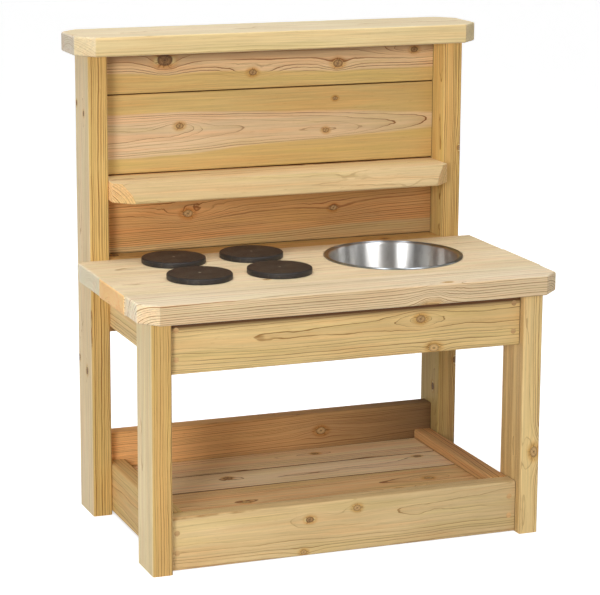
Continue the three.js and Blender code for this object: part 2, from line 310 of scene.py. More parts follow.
def revolved(profile: np.ndarray, steps: int, swell: np.ndarray | None = None
             ) -> tuple[np.ndarray, Faces]:
    """Turn a profile of radius and height round the third axis.

    The surface is (r cos a, r sin a, z) over the profile's points and the angles a. The profile starts
    and ends on the axis, where its ring shrinks to one point.

    Args:
        profile: Radius and height, from the foot of the axis up the outside and back to the axis.
        steps: Steps round the axis.
        swell: Factor on the radius, one row for each profile point and one column for each angle.

    Returns:
        The points and the faces.
    """
    angle = np.linspace(0, 2 * math.pi, steps, endpoint=False)
    ring = profile[1:-1]
    radius = ring[:, 0][:, None] * (np.ones((len(ring), steps)) if swell is None else swell[1:-1])
    points = np.stack([
        radius * np.cos(angle), radius * np.sin(angle), np.repeat(ring[:, 1][:, None], steps, axis=1),
    ], axis=-1).reshape(-1, 3)
    foot, last = len(points), (len(ring) - 1) * steps
    points = np.concatenate([points, [[0, 0, profile[0, 1]], [0, 0, profile[-1, 1]]]])
    this, tip = np.arange(steps), np.full(steps, foot)
    following = np.roll(this, -1)
    lower = np.stack([tip, following, this], axis=1)
    upper = np.stack([tip + 1, last + this, last + following], axis=1)
    return points, bridged(len(ring), steps) + as_faces(np.concatenate([lower, upper]))


# Shader building


class Graph:
    """Adds nodes to one tree and joins them."""

    column_width = 190
    row_height = 170
    rows = 4

    def __init__(self, tree: bpy.types.NodeTree) -> None:
        """Start with the tree that gets the nodes."""
        self.tree = tree
        self.column = 0

    def node(self, kind: str, given: dict[int | str, object] | None = None,
             **settings: object) -> bpy.types.Node:
        """Add a node, to the right of the last one, and set it up.

        Args:
            kind: The node's type.
            given: Values for its inputs, by their numbers or names.
            settings: Its properties, which are set first.

        Returns:
            The node.
        """
        made = self.tree.nodes.new(kind)
        made.location = (self.column * self.column_width, -(self.column % self.rows) * self.row_height)
        self.column += 1
        for key, value in settings.items():
            setattr(made, key, value)
        self.fill(made, given or {})
        return made

    def fill(self, node: bpy.types.Node, given: dict[int | str, object]) -> None:
        """Put values into a node's inputs, by their numbers or names."""
        for label, value in given.items():
            self.put(node.inputs[label], value)

    def put(self, socket: Socket, value: object) -> None:
        """Join a socket to another one, or set its own value.

        Args:
            socket: The input.
            value: An output socket, a number or a colour.
        """
        if isinstance(value, bpy.types.NodeSocket):
            self.tree.links.new(value, socket)
        elif socket.type == "RGBA" and len(value) == 3:
            socket.default_value = (*value, 1.0)
        else:
            socket.default_value = value

    def math(self, operation: str, *values: object, clamp: bool = False) -> Socket:
        """Return a number worked out from one to three numbers."""
        given = dict(enumerate(values))
        return self.node("ShaderNodeMath", given, operation=operation, use_clamp=clamp).outputs[0]

    def vector(self, operation: str, *values: object) -> Socket:
        """Return a vector worked out from others, or a length or a dot product."""
        made = self.node("ShaderNodeVectorMath", dict(enumerate(values)), operation=operation)
        return made.outputs["Value" if operation in ("LENGTH", "DOT_PRODUCT") else "Vector"]

    def scaled(self, vector: object, factor: object) -> Socket:
        """Return a vector times a number."""
        made = self.node("ShaderNodeVectorMath", {0: vector, "Scale": factor}, operation="SCALE")
        return made.outputs["Vector"]

    def times(self, first: object, second: object, clamp: bool = False) -> Socket:
        """Return the product of two numbers."""
        return self.math("MULTIPLY", first, second, clamp=clamp)

    def fused(self, first: object, second: object, added: object) -> Socket:
        """Return the product of two numbers plus a third."""
        return self.math("MULTIPLY_ADD", first, second, added)

    def minus(self, first: object, second: object) -> Socket:
        """Return the difference of two numbers."""
        return self.math("SUBTRACT", first, second)

    def near_one(self, value: object, spread: float) -> Socket:
        """Turn noise about one half into a factor about one, which varies by a spread."""
        return self.fused(value, spread, 1 - spread / 2)

    def length(self, vector: object, axes: Stretch) -> Socket:
        """Return the length of a vector along some of the axes, which are 1 in a list of three."""
        return self.vector("LENGTH", self.vector("MULTIPLY", vector, axes))

    def mix(self, factor: object, first: object, second: object, blend: str = "MIX") -> Socket:
        """Return a blend of two colours."""
        given = {0: factor, 6: first, 7: second}
        return self.node("ShaderNodeMix", given, data_type="RGBA", blend_type=blend).outputs[2]

    def tinted(self, colour: object, tint: object) -> Socket:
        """Return a colour times a tint."""
        return self.mix(1.0, colour, tint, "MULTIPLY")

    def stained(self, mask: object, colour: object, tint: object) -> Socket:
        """Return a colour that a tint darkens where a mask is 1."""
        return self.mix(mask, colour, self.tinted(colour, tint))

    def span(self, value: object, low: object, high: object, to_low: object = 0.0,
             to_high: object = 1.0) -> Socket:
        """Return a number brought smoothly from one range to another, and clamped."""
        given = dict(enumerate((value, low, high, to_low, to_high)))
        return self.node("ShaderNodeMapRange", given, interpolation_type="SMOOTHSTEP").outputs[0]

    def fading(self, value: object, start: object, end: object, strength: object = 1.0) -> Socket:
        """Return a mask that falls from a strength to 0 while a number grows from start to end."""
        return self.span(value, start, end, strength, 0.0)

    def noise(self, vector: object, scale: float, detail: float = 2.0, rough: float = 0.5,
              colour: bool = False) -> Socket:
        """Return smooth noise of a vector, as a number about one half or as three of them."""
        given = {"Vector": vector, "Scale": scale, "Detail": detail, "Roughness": rough}
        return self.node("ShaderNodeTexNoise", given).outputs["Color" if colour else "Fac"]

    def streaks(self, vector: object, stretch: Stretch, detail: float = 2.0, rough: float = 0.5) -> Socket:
        """Return smooth noise of a vector that is stretched by its own factor along each axis."""
        return self.noise(self.vector("MULTIPLY", vector, stretch), 1.0, detail, rough)

    def parts(self, vector: object) -> tuple[Socket, Socket, Socket]:
        """Return the three numbers of a vector."""
        return tuple(self.node("ShaderNodeSeparateXYZ", {0: vector}).outputs)

    def joined(self, first: object, second: object, third: object) -> Socket:
        """Return a vector made of three numbers."""
        given = dict(enumerate((first, second, third)))
        return self.node("ShaderNodeCombineXYZ", given).outputs[0]

    def grey(self, value: object) -> Socket:
        """Return a vector with one number three times."""
        return self.joined(value, value, value)


class EffectGroup:
    """A shader node group with named inputs and outputs, built once and placed in many materials."""

    name = "effect"
    inputs: dict[str, tuple[str, object]] = {}
    outputs: dict[str, str] = {}

    @classmethod
    def tree(cls) -> bpy.types.NodeTree:
        """Build the group's tree the first time, and find it again after that.

        Returns:
            The tree.
        """
        known = bpy.data.node_groups.get(cls.name)
        if known:
            return known
        tree = bpy.data.node_groups.new(cls.name, "ShaderNodeTree")
        for label, (kind, value) in cls.inputs.items():
            socket = tree.interface.new_socket(label, in_out="INPUT", socket_type=kind)
            socket.default_value = (*value, 1.0) if kind == "NodeSocketColor" else value
        for label, kind in cls.outputs.items():
            tree.interface.new_socket(label, in_out="OUTPUT", socket_type=kind)
        graph = Graph(tree)
        source = graph.node("NodeGroupInput")
        results = cls.build(graph, {label: source.outputs[label] for label in cls.inputs})
        sink = graph.node("NodeGroupOutput")
        graph.fill(sink, results)
        return tree

    @classmethod
    def build(cls, graph: Graph, given: dict[str, Socket]) -> dict[str, Socket]:
        """Add the group's nodes.

        Args:
            graph: Graph of the group's tree.
            given: The group's inputs.

        Returns:
            A value for each output.
        """
        raise NotImplementedError

    @classmethod
    def place(cls, graph: Graph, **values: object) -> dict[str, Socket]:
        """Place the group in a material.

        Args:
            graph: Graph of the material's tree.
            values: The inputs, with spaces in their names written as underscores.

        Returns:
            The group's outputs by name.
        """
        given = {label.replace("_", " "): value for label, value in values.items()}
        made = graph.node("ShaderNodeGroup", given, node_tree=cls.tree())
        return {label: made.outputs[label] for label in cls.outputs}


NUMBER = "NodeSocketFloat"
VECTOR = "NodeSocketVector"
TINT = "NodeSocketColor"
ORIGIN = (0.0, 0.0, 0.0)
FAR = 9.0
NO_KNOT = {"Swell": 0.0, "Near": FAR, "Tone": 0.5, "Local": (FAR, FAR, FAR)}


class KnotFlow(EffectGroup):
    """Bends the grain round one knot and lets the rings bulge there.

    With p the offset from the knot's axis, d its length (less stretched along the grain) and R the
    knot's radius, the wood at p is looked up p 1.2 R^2/d^2 nearer to the axis, and at most on it, so the
    grain parts as a stream does round a post. The rings bulge by B exp(-((x/S)^2 + (y/W)^2) n), with x
    along the grain, y across it, S the spread, W 2.6 R and n noise about one, which draws closed loops
    about the knot. The nearest knot's d/R is kept, with its tone and the offset from it over R.
    """

    name = "knot flow"
    inputs = {
        "Point": (VECTOR, ORIGIN), "Flat": (VECTOR, ORIGIN), "Swell": (NUMBER, 0.0),
        "Near": (NUMBER, FAR), "Tone": (NUMBER, 0.5), "Local": (VECTOR, (FAR, FAR, FAR)),
        "Centre": (VECTOR, ORIGIN), "Axis": (VECTOR, (0, 0, 1)),
        "Radius": (NUMBER, 0.01), "Stretch": (NUMBER, 0.7), "Own Tone": (NUMBER, 0.5),
        "Bulge": (NUMBER, 0.0), "Spread": (NUMBER, 0.06),
    }
    outputs = {"Point": VECTOR, "Swell": NUMBER, "Near": NUMBER, "Tone": NUMBER, "Local": VECTOR}
    wobble_scale = 55.0
    outline_wobble = 0.4
    bulge_wobble = 0.6
    nearest = 0.001
    parting = 1.2
    side_reach = 2.6

    @classmethod
    def build(cls, graph: Graph, given: dict[str, Socket]) -> dict[str, Socket]:
        """Add the nodes of the knot's flow, by the formula of the class.

        Args:
            graph: Graph of the group's tree.
            given: The group's inputs.

        Returns:
            A value for each output.
        """
        offset = graph.vector("SUBTRACT", given["Flat"], given["Centre"])
        along_axis = graph.scaled(given["Axis"], graph.vector("DOT_PRODUCT", offset, given["Axis"]))
        across = graph.vector("SUBTRACT", offset, along_axis)
        x, y, z = graph.parts(across)
        wobble = graph.noise(given["Flat"], cls.wobble_scale)
        squeezed = graph.vector("LENGTH", graph.joined(graph.times(x, given["Stretch"]), y, z))
        length = graph.times(squeezed, graph.near_one(wobble, cls.outline_wobble))
        ratio = graph.math("DIVIDE", length, given["Radius"])
        square = graph.math("POWER", graph.math("MAXIMUM", ratio, cls.nearest), 2.0)
        share = graph.math("MINIMUM", graph.math("DIVIDE", cls.parting, square), 1.0)
        moved = graph.vector("SUBTRACT", given["Point"], graph.scaled(graph.joined(0.0, y, z), share))

        far = graph.math("POWER", graph.math("DIVIDE", x, given["Spread"]), 2.0)
        aside = graph.math("DIVIDE", graph.vector("LENGTH", graph.joined(0.0, y, z)), given["Radius"])
        aside = graph.math("POWER", graph.math("DIVIDE", aside, cls.side_reach), 2.0)
        fall = graph.times(graph.math("ADD", far, aside), graph.near_one(wobble, cls.bulge_wobble))
        bulge = graph.math("EXPONENT", graph.times(fall, -1.0))
        swell = graph.fused(bulge, given["Bulge"], given["Swell"])

        closer = graph.math("LESS_THAN", ratio, given["Near"])
        gap = graph.minus(given["Own Tone"], given["Tone"])
        tone = graph.fused(closer, gap, given["Tone"])
        own = graph.scaled(across, graph.math("DIVIDE", 1.0, given["Radius"]))
        change = graph.scaled(graph.vector("SUBTRACT", own, given["Local"]), closer)
        return {"Point": moved, "Swell": swell, "Near": graph.math("MINIMUM", ratio, given["Near"]),
                "Tone": tone, "Local": graph.vector("ADD", given["Local"], change)}


class GrowthRings(EffectGroup):
    """Growth rings of a log that the board was sawn from.

    The ring number is the distance from the pith, which runs along the board and may lean, less the
    swell of the knots, over the ring pitch, with slow noise on all of it. Each ring darkens a little and
    ends in a line of set width: on a face whose normal is n the distance grows by g = sqrt(1 - (r.n)^2)
    for each metre, with r the direction from the pith, so the line takes up width times g over pitch of
    its ring. The lines fade in and out along the grain.
    """

    name = "growth rings"
    inputs = {
        "Point": (VECTOR, ORIGIN), "Swell": (NUMBER, 0.0), "Pith": (VECTOR, ORIGIN),
        "Lean": (VECTOR, ORIGIN), "Wander": (NUMBER, 0.012), "Pitch": (NUMBER, 0.005),
        "Width": (NUMBER, 0.0013), "Normal": (VECTOR, (0, 0, 1)), "Seed": (VECTOR, ORIGIN),
    }
    outputs = {"Late": NUMBER, "Distance": NUMBER}
    wander_stretch = (2.6, 7.0, 7.0)
    wander_detail = 3.0
    ripple_stretch = (16.0, 55.0, 55.0)
    ripple_height = 2.2 * MM
    year_rate = 0.31
    year_spread = 3.2
    least_share, most_share = 0.1, 0.6
    line_top, line_end = 0.55, 0.8
    soft_line = 0.22
    strength_row = 3.7
    strength_scale = 0.77
    year_strengths = (0.3, 0.65, 0.4, 1.25)
    fade_stretch = (7.0, 60.0, 60.0)
    fade_strengths = (0.3, 0.55, 0.5, 1.1)

    @classmethod
    def build(cls, graph: Graph, given: dict[str, Socket]) -> dict[str, Socket]:
        """Add the nodes of the rings, by the formula of the class.

        Args:
            graph: Graph of the group's tree.
            given: The group's inputs.

        Returns:
            A value for each output.
        """
        point, seed = given["Point"], given["Seed"]
        stretched = graph.vector("ADD", graph.vector("MULTIPLY", point, cls.wander_stretch), seed)
        slow = graph.noise(stretched, 1.0, cls.wander_detail, colour=True)
        shift = graph.scaled(graph.vector("SUBTRACT", slow, (0.5, 0.5, 0.5)), given["Wander"])
        x, _, _ = graph.parts(point)
        leaning = graph.scaled(given["Lean"], x)
        placed = graph.vector("SUBTRACT", graph.vector("ADD", point, shift), given["Pith"])
        placed = graph.vector("SUBTRACT", placed, leaning)
        radial = graph.vector("MULTIPLY", placed, (0.0, 1.0, 1.0))
        distance = graph.vector("LENGTH", radial)
        facing = graph.math("DIVIDE", graph.vector("DOT_PRODUCT", radial, given["Normal"]), distance)
        facing = graph.math("POWER", facing, 2.0)
        slope = graph.math("SQRT", graph.math("SUBTRACT", 1.0, facing, clamp=True))

        ripple = graph.times(graph.minus(graph.streaks(point, cls.ripple_stretch), 0.5), cls.ripple_height)
        ringed = graph.minus(graph.math("ADD", distance, ripple), given["Swell"])
        number = graph.math("DIVIDE", ringed, given["Pitch"])
        years = graph.joined(graph.times(number, cls.year_rate), 0.0, 0.0)
        uneven = graph.noise(graph.vector("ADD", years, seed), 1.0)
        number = graph.fused(uneven, cls.year_spread, number)
        part = graph.math("FRACT", number)
        share = graph.times(graph.math("DIVIDE", given["Width"], given["Pitch"]), slope)
        share = graph.math("MINIMUM", graph.math("MAXIMUM", share, cls.least_share), cls.most_share)
        start = graph.minus(1.0, share)
        top = graph.fused(share, cls.line_top, start)
        end = graph.fused(share, cls.line_end, start)
        line = graph.times(graph.span(part, start, top), graph.fading(part, end, 1.0))
        soft = graph.times(graph.math("POWER", part, 2.0), graph.fading(part, end, 1.0, cls.soft_line))
        line = graph.math("MAXIMUM", line, soft)

        whole = graph.joined(graph.math("FLOOR", number), cls.strength_row, 0.0)
        strength = graph.noise(graph.vector("ADD", whole, seed), cls.strength_scale, 0.0)
        strength = graph.span(strength, *cls.year_strengths)
        fade = graph.vector("ADD", graph.vector("MULTIPLY", point, cls.fade_stretch), seed)
        fade = graph.span(graph.noise(fade, 1.0), *cls.fade_strengths)
        late = graph.times(line, graph.times(strength, fade))
        return {"Late": late, "Distance": distance}


class Softwood(EffectGroup):
    """Colour, roughness and relief of planed softwood from its rings, fibres and knots.

    Inside the reach of the heartwood, measured from the pith, the wood has the heart's colour, and
    outside it the sapwood's. Each year's line is the wood times a dark tint. Broad patches, streaks,
    fibres and resin ducts are noise stretched along the grain, and the whole may be painted lighter along
    the board, which on some boards is painted shade. The Seam input darkens dark joints, with painted shade
    in them, and paints the shadow below an overhanging board. A mask's numbers are where it starts and
    ends, in radii of the knot for those round a knot, and how strong it is.
    """

    name = "softwood"
    inputs = {
        "Flat": (VECTOR, ORIGIN), "Point": (VECTOR, ORIGIN), "Late": (NUMBER, 0.0),
        "Distance": (NUMBER, 0.1), "Near": (NUMBER, FAR), "Tone": (NUMBER, 0.5),
        "Local": (VECTOR, (FAR, FAR, FAR)), "End": (NUMBER, 0.0), "End Tint": (TINT, (0.9, 0.8, 0.7)),
        "Seed": (VECTOR, ORIGIN), "Sapwood": (TINT, (0.7, 0.55, 0.35)),
        "Heart": (TINT, (0.5, 0.3, 0.15)), "Line": (TINT, (0.5, 0.35, 0.2)),
        "Heart Reach": (NUMBER, 0.0), "Sap Contrast": (NUMBER, 0.8), "Heart Contrast": (NUMBER, 0.8),
        "Blush": (NUMBER, 0.3), "Patch": (NUMBER, 0.3), "Drift": (NUMBER, 0.0), "Seam": (NUMBER, 0.0),
    }
    outputs = {"Colour": TINT, "Roughness": NUMBER, "Height": NUMBER}

    seed_scale = 0.05
    broad_stretch = (2.2, 14.0, 14.0)
    tint_stretch, tint_detail = (3.1, 40.0, 40.0), 3.0
    streak_noise = ((5.0, 230.0, 230.0), 3.0, 0.6)
    fibre_noise = ((30.0, 1300.0, 1300.0), 3.0, 0.65)
    duct_noise = ((50.0, 900.0, 900.0), 1.0)
    heart_wobble = 12 * MM
    heart_fade = 2 * MM
    patch_mask, patch_tint = (0.36, 0.64), (0.84, 0.77, 0.64)
    pink_mask, pink_tint = (0.5, 0.66), (1.05, 0.84, 0.72)
    green_mask, green_tint = (0.36, 0.5), (0.93, 0.99, 0.8)
    fibre_tone, streak_tone, least_tone = 0.24, 0.58, 0.6
    duct_mask, duct_strength, duct_tint = (0.68, 0.75), 0.4, (0.58, 0.45, 0.32)
    # tint of dark joints with painted shade in them, and of painted shadow below an overhang
    seam_and_shadow_tint = (0.16, 0.09, 0.05)
    roughness, late_gloss, end_roughness, knot_gloss = 0.66, -0.12, 0.12, -0.05
    late_relief, fibre_relief, streak_relief, rim_relief = 0.55, 0.5, 0.5, -0.25

    halo_mask, halo_tint = (1.0, 2.6, 0.85), (0.82, 0.6, 0.3)
    wing_start, wing_end, wing_side = (0.95, 1.4), (1.6, 2.6), (0.3, 1.0)
    wing_tones, wing_colour = (0.55, 0.85, 0.15, 0.8), (0.74, 0.62, 0.3)
    spoke_turns, spoke_reach = 1.6, 0.35
    spoke_scale, spoke_mask = 2.6, (0.56, 0.63)
    ray_mask, ray_tint = (1.0, 2.1, 0.75), (0.4, 0.24, 0.12)
    core_mask, rim_start, rim_end = (0.92, 1.08), (0.74, 0.98), (1.0, 1.22)
    hair_noise, hair_sway = (420.0, 3.0, 0.6), 3.0
    turn_rate, turn_size, turn_middle = 17.0, 0.28, 0.32
    light_core = ((0.8, 0.55, 0.24), (0.46, 0.21, 0.06))
    dark_core = ((0.3, 0.15, 0.05), (0.1, 0.044, 0.014))
    crack_mask, crack_tones, crack_colour = (0.12, 0.4), (0.1, 0.7, 0.15, 0.8), (0.07, 0.03, 0.013)
    pith_mask, pith_colour = (0.14, 0.28, 0.8), (0.08, 0.034, 0.014)
    rim_by_tone, least_rim = 0.5, 0.4
    inner_rim_colour, outer_rim_colour = (0.1, 0.04, 0.012), (0.12, 0.05, 0.016)

    @classmethod
    def knots(cls, graph: Graph, given: dict[str, Socket], face: Socket, grain: Socket
              ) -> tuple[Socket, Socket, Socket]:
        """Draw the nearest knot: a warm halo, pale wings along the grain, a dark rim and its own rings.

        Args:
            graph: Graph of the group's tree.
            given: The group's inputs.
            face: The colour of the clear wood.
            grain: The fibres' tint.

        Returns:
            The colour, a mask of the knot and a mask of its rim.
        """
        near, tone = given["Near"], given["Tone"]
        x, y, z = graph.parts(given["Local"])
        side = graph.vector("LENGTH", graph.joined(0.0, y, z))
        reach = graph.math("ABSOLUTE", x)
        face = graph.stained(graph.fading(near, *cls.halo_mask), face, cls.halo_tint)
        wing = graph.times(graph.span(reach, *cls.wing_start), graph.fading(reach, *cls.wing_end))
        wing = graph.times(wing, graph.fading(side, *cls.wing_side))
        wing = graph.times(wing, graph.span(tone, *cls.wing_tones))
        face = graph.mix(wing, face, cls.wing_colour)
        bearing = graph.math("ARCTAN2", graph.math("ADD", y, z), x)
        around = graph.joined(
            graph.times(bearing, cls.spoke_turns), graph.times(near, cls.spoke_reach), tone)
        spoke = graph.span(graph.noise(around, cls.spoke_scale, 1.0), *cls.spoke_mask)
        ray = graph.times(spoke, graph.fading(near, *cls.ray_mask))
        face = graph.stained(ray, face, cls.ray_tint)

        inside = graph.fading(near, *cls.core_mask)
        rim = graph.times(graph.span(near, *cls.rim_start), graph.fading(near, *cls.rim_end))
        hair = graph.noise(given["Flat"], *cls.hair_noise)
        turns = graph.fused(near, cls.turn_rate, graph.times(hair, cls.hair_sway))
        turns = graph.fused(graph.math("SINE", turns), cls.turn_size, cls.turn_middle)
        core = graph.mix(tone, graph.mix(turns, *cls.light_core), graph.mix(turns, *cls.dark_core))
        crack = graph.times(spoke, graph.span(near, *cls.crack_mask))
        crack = graph.times(crack, graph.span(tone, *cls.crack_tones))
        core = graph.mix(crack, core, cls.crack_colour)
        core = graph.mix(graph.fading(near, *cls.pith_mask), core, cls.pith_colour)
        rim = graph.times(rim, graph.fused(tone, cls.rim_by_tone, cls.least_rim))
        core = graph.mix(rim, core, cls.inner_rim_colour)
        face = graph.mix(rim, face, cls.outer_rim_colour)
        return graph.mix(inside, face, graph.tinted(core, grain)), inside, rim

    @classmethod
    def build(cls, graph: Graph, given: dict[str, Socket]) -> dict[str, Socket]:
        """Add the nodes of the wood, from broad tones down to single fibres.

        Args:
            graph: Graph of the group's tree.
            given: The group's inputs.

        Returns:
            A value for each output.
        """
        seeded = graph.vector("ADD", given["Point"], graph.scaled(given["Seed"], cls.seed_scale))
        broad = graph.streaks(seeded, cls.broad_stretch)
        tint = graph.streaks(seeded, cls.tint_stretch, cls.tint_detail)
        streak = graph.streaks(seeded, *cls.streak_noise)
        fibre = graph.streaks(seeded, *cls.fibre_noise)

        uneven = graph.fused(broad, cls.heart_wobble, given["Distance"])
        beyond = graph.minus(graph.minus(uneven, cls.heart_wobble / 2), given["Heart Reach"])
        inner = graph.fading(beyond, -cls.heart_fade, cls.heart_fade)
        face = graph.mix(inner, given["Sapwood"], given["Heart"])
        patch = graph.times(graph.span(broad, *cls.patch_mask), given["Patch"])
        face = graph.stained(patch, face, cls.patch_tint)
        pink = graph.times(graph.span(tint, *cls.pink_mask), given["Blush"])
        green = graph.times(graph.fading(tint, *cls.green_mask), given["Blush"])
        face = graph.stained(pink, face, cls.pink_tint)
        face = graph.stained(green, face, cls.green_tint)
        gain = graph.minus(given["Heart Contrast"], given["Sap Contrast"])
        contrast = graph.fused(inner, gain, given["Sap Contrast"])
        line = graph.tinted(face, given["Line"])
        face = graph.mix(graph.times(given["Late"], contrast, clamp=True), face, line)
        grain = graph.fused(streak, cls.streak_tone, graph.fused(fibre, cls.fibre_tone, cls.least_tone))
        grain = graph.grey(grain)
        face = graph.tinted(face, grain)
        duct = graph.span(graph.streaks(seeded, *cls.duct_noise), *cls.duct_mask)
        face = graph.stained(graph.times(duct, cls.duct_strength), face, cls.duct_tint)

        face, inside, rim = cls.knots(graph, given, face, grain)
        x, _, _ = graph.parts(given["Flat"])
        # painted shade on some boards: the colour grows darker or lighter along the board
        face = graph.tinted(face, graph.grey(graph.fused(x, given["Drift"], 1.0)))
        face = graph.stained(given["End"], face, given["End Tint"])
        # dark joints with painted shade in them, and a painted shadow below an overhanging board
        face = graph.stained(given["Seam"], face, cls.seam_and_shadow_tint)

        rough = graph.fused(given["Late"], cls.late_gloss, cls.roughness)
        rough = graph.fused(given["End"], cls.end_roughness, rough)
        rough = graph.fused(inside, cls.knot_gloss, rough)
        relief = graph.times(given["Late"], cls.late_relief)
        relief = graph.fused(fibre, cls.fibre_relief, relief)
        relief = graph.fused(streak, cls.streak_relief, relief)
        relief = graph.fused(rim, cls.rim_relief, relief)
        return {"Colour": face, "Roughness": rough, "Height": relief}


class Face(Enum):
    """Which face of a board a knot comes out of."""

    WIDE = (0.0, 0.0, 1.0)
    EDGE = (0.0, 1.0, 0.0)


@dataclass(frozen=True)
class Knot:
    """One knot, in millimetres from the middle of its board.

    Its tone runs from 0, pale, to 1, dark, and a stretch below one makes it longer along the grain. The
    bulge is how far it pushes the rings out, and the spread how far along the grain that reaches.
    """

    along: float
    across: float
    radius: float
    tone: float = 0.6
    face: Face = Face.WIDE
    through: float = 0.0
    stretch: float = 0.72
    bulge: float = 8.0
    spread: float = 55.0


@dataclass(frozen=True)
class Wood:
    """Colours of one board's sapwood and heartwood, and how strongly the years' lines show in each.

    The line and the end tint are what a year's line and the end grain are multiplied by. The blush is how
    strongly pink and green streaks show, and the patch how strongly broad browner patches do.
    """

    sapwood: Colour
    heart: Colour
    sap_contrast: float = 0.8
    heart_contrast: float = 0.9
    line: Colour = (0.5, 0.34, 0.2)
    end_tint: Colour = (1.0, 0.9, 0.78)
    blush: float = 0.35
    patch: float = 0.35


@dataclass(frozen=True)
class Sawn:
    """How one board lay in its log, in millimetres, and its knots.

    The pith is given across the board and through it, and leans by so much for each metre of length. The
    rings are one pitch apart, end in lines of a set width and wander, and those within the heart's reach
    of the pith are heartwood. The tone_and_shade_drift is how much lighter the board is painted along its
    length, as a share for each metre, which on some boards is painted shade. A board with a
    painted_light_edge_wood has that wood on its edges and is paler on its wide faces: partly painted light
    as it falls from the side or above, partly the faces' own tone. The seams are how far in from its ends
    and from its long edges a board is darkened where it meets others, a dark joint with painted shade in
    it, and the shade is how far down from its upper edge, and how strongly, it carries a painted shadow of
    the board on top of it.
    """

    wood: Wood
    pith: tuple[float, float]
    lean: tuple[float, float] = (0.0, 0.0)
    pitch: float = 5.0
    wander: float = 14.0
    line: float = 1.5
    heart_reach: float = -100.0
    knots: tuple[Knot, ...] = ()
    seed: int = 1
    # how much lighter the board is painted along its length; painted shade on some boards
    tone_and_shade_drift: float = 0.0
    # edge colour of a board whose wide faces are painted paler: partly painted light
    painted_light_edge_wood: Wood | None = None
    # dark joints, with painted shade in them, along the ends and long edges
    seams: tuple[float, float] = (0.0, 0.0)
    # painted shadow below an overhanging board: depth in mm and strength
    shade: tuple[float, float] = (0.0, 0.0)


class Run(Enum):
    """The way a board's grain runs, with the axis across its wide face."""

    FLAT = ("X", "Y")
    PANEL = ("X", "Z")
    UPRIGHT = ("Z", "Y")
    RAIL = ("Y", "Z")

    def turn(self) -> Matrix:
        """Return the rotation from the frame's axes to along, across and through the board."""
        along, across = (UNIT["XYZ".index(letter)] for letter in self.value)
        return Matrix((along, across, along.cross(across)))


# Finishes


SEED_REACH = 40
END_MASK, EDGE_MASK = (0.45, 0.75), (0.35, 0.8)
WOOD_SPECULAR = 0.35
WOOD_RELIEF = 0.35 * MM


def new_material(name: str) -> tuple[bpy.types.Material, Graph, bpy.types.Node]:
    """Make a material with one Principled shader.

    Args:
        name: The material's name.

    Returns:
        The material, a graph of its tree and its shader node.
    """
    material = bpy.data.materials.new(name)
    material.use_nodes = True
    material.node_tree.nodes.clear()
    graph = Graph(material.node_tree)
    shader = graph.node("ShaderNodeBsdfPrincipled")
    output = graph.node("ShaderNodeOutputMaterial")
    material.node_tree.links.new(shader.outputs[0], output.inputs[0])
    return material, graph, shader


def add_bump(graph: Graph, shader: bpy.types.Node, height: Socket, distance: float) -> None:
    """Give a shader relief from a height.

    Args:
        graph: Graph of the material.
        shader: The shader node.
        height: The height.
        distance: What a height of one is in metres.
    """
    bump = graph.node("ShaderNodeBump", {"Distance": distance, "Height": height})
    graph.put(shader.inputs["Normal"], bump.outputs[0])


def centred_point(graph: Graph, centre: Vector, turn: Matrix) -> Socket:
    """Read a piece's Object coordinates, moved to a centre and turned.

    Args:
        graph: Graph of the material.
        centre: The point that becomes the origin.
        turn: The rotation.

    Returns:
        The coordinates' socket.
    """
    coordinates = graph.node("ShaderNodeTexCoord")
    return graph.node("ShaderNodeMapping", {
        "Vector": coordinates.outputs["Object"], "Rotation": turn.to_euler("XYZ"),
        "Location": -(turn @ centre)}).outputs[0]


def wood_colours(graph: Graph, sawn: Sawn, edge: Socket) -> dict[str, object]:
    """Choose the wood's colours, by the face for a board with painted light: paler wide faces, darker edges.

    Args:
        graph: Graph of the material.
        sawn: How the board lay in its log.
        edge: 1 on the board's edges and 0 on its wide faces.

    Returns:
        The colours and contrasts by the softwood group's inputs.
    """
    # painted light: the wide faces take the paler wood, the edges the painted_light_edge_wood
    wood, other = sawn.wood, sawn.painted_light_edge_wood or sawn.wood

    def between(first: float, second: float) -> Socket | float:
        """Blend two numbers by the edge, where they differ."""
        if first == second:
            return first
        return graph.fused(edge, second - first, first)

    def tinted(first: Colour, second: Colour) -> Socket | Colour:
        """Blend two colours by the edge, where they differ."""
        return first if first == second else graph.mix(edge, first, second)

    return {
        "Sapwood": tinted(wood.sapwood, other.sapwood), "Heart": tinted(wood.heart, other.heart),
        "Line": tinted(wood.line, other.line),
        "Sap_Contrast": between(wood.sap_contrast, other.sap_contrast),
        "Heart_Contrast": between(wood.heart_contrast, other.heart_contrast),
    }


def seam_and_shadow_mask(graph: Graph, sawn: Sawn, flat: Socket, half: list[float]) -> object:
    """Mark dark joints at a board's ends and long edges, with painted shade, and a painted shadow at its top.

    Args:
        graph: Graph of the material.
        sawn: How the board lay in its log.
        flat: The point along, across and through the board.
        half: Half the board's size along, across and through it.

    Returns:
        The mask, which is 0 for a board that has neither.
    """
    mask: object = 0.0
    for axis, depth in enumerate(sawn.seams):
        if depth:
            away = graph.math("ABSOLUTE", graph.vector("DOT_PRODUCT", flat, UNIT[axis]))
            stain = graph.span(away, half[axis] - depth * MM, half[axis] - depth * MM / 2)
            mask = graph.math("MAXIMUM", mask, stain)
    # painted shadow: darkest at the upper edge, where the board on top of it casts shade
    depth, strength = sawn.shade
    if depth:
        _, across, _ = graph.parts(flat)
        brown = graph.span(across, half[1] - depth * MM, half[1], 0.0, strength)
        mask = graph.math("MAXIMUM", mask, brown)
    return mask


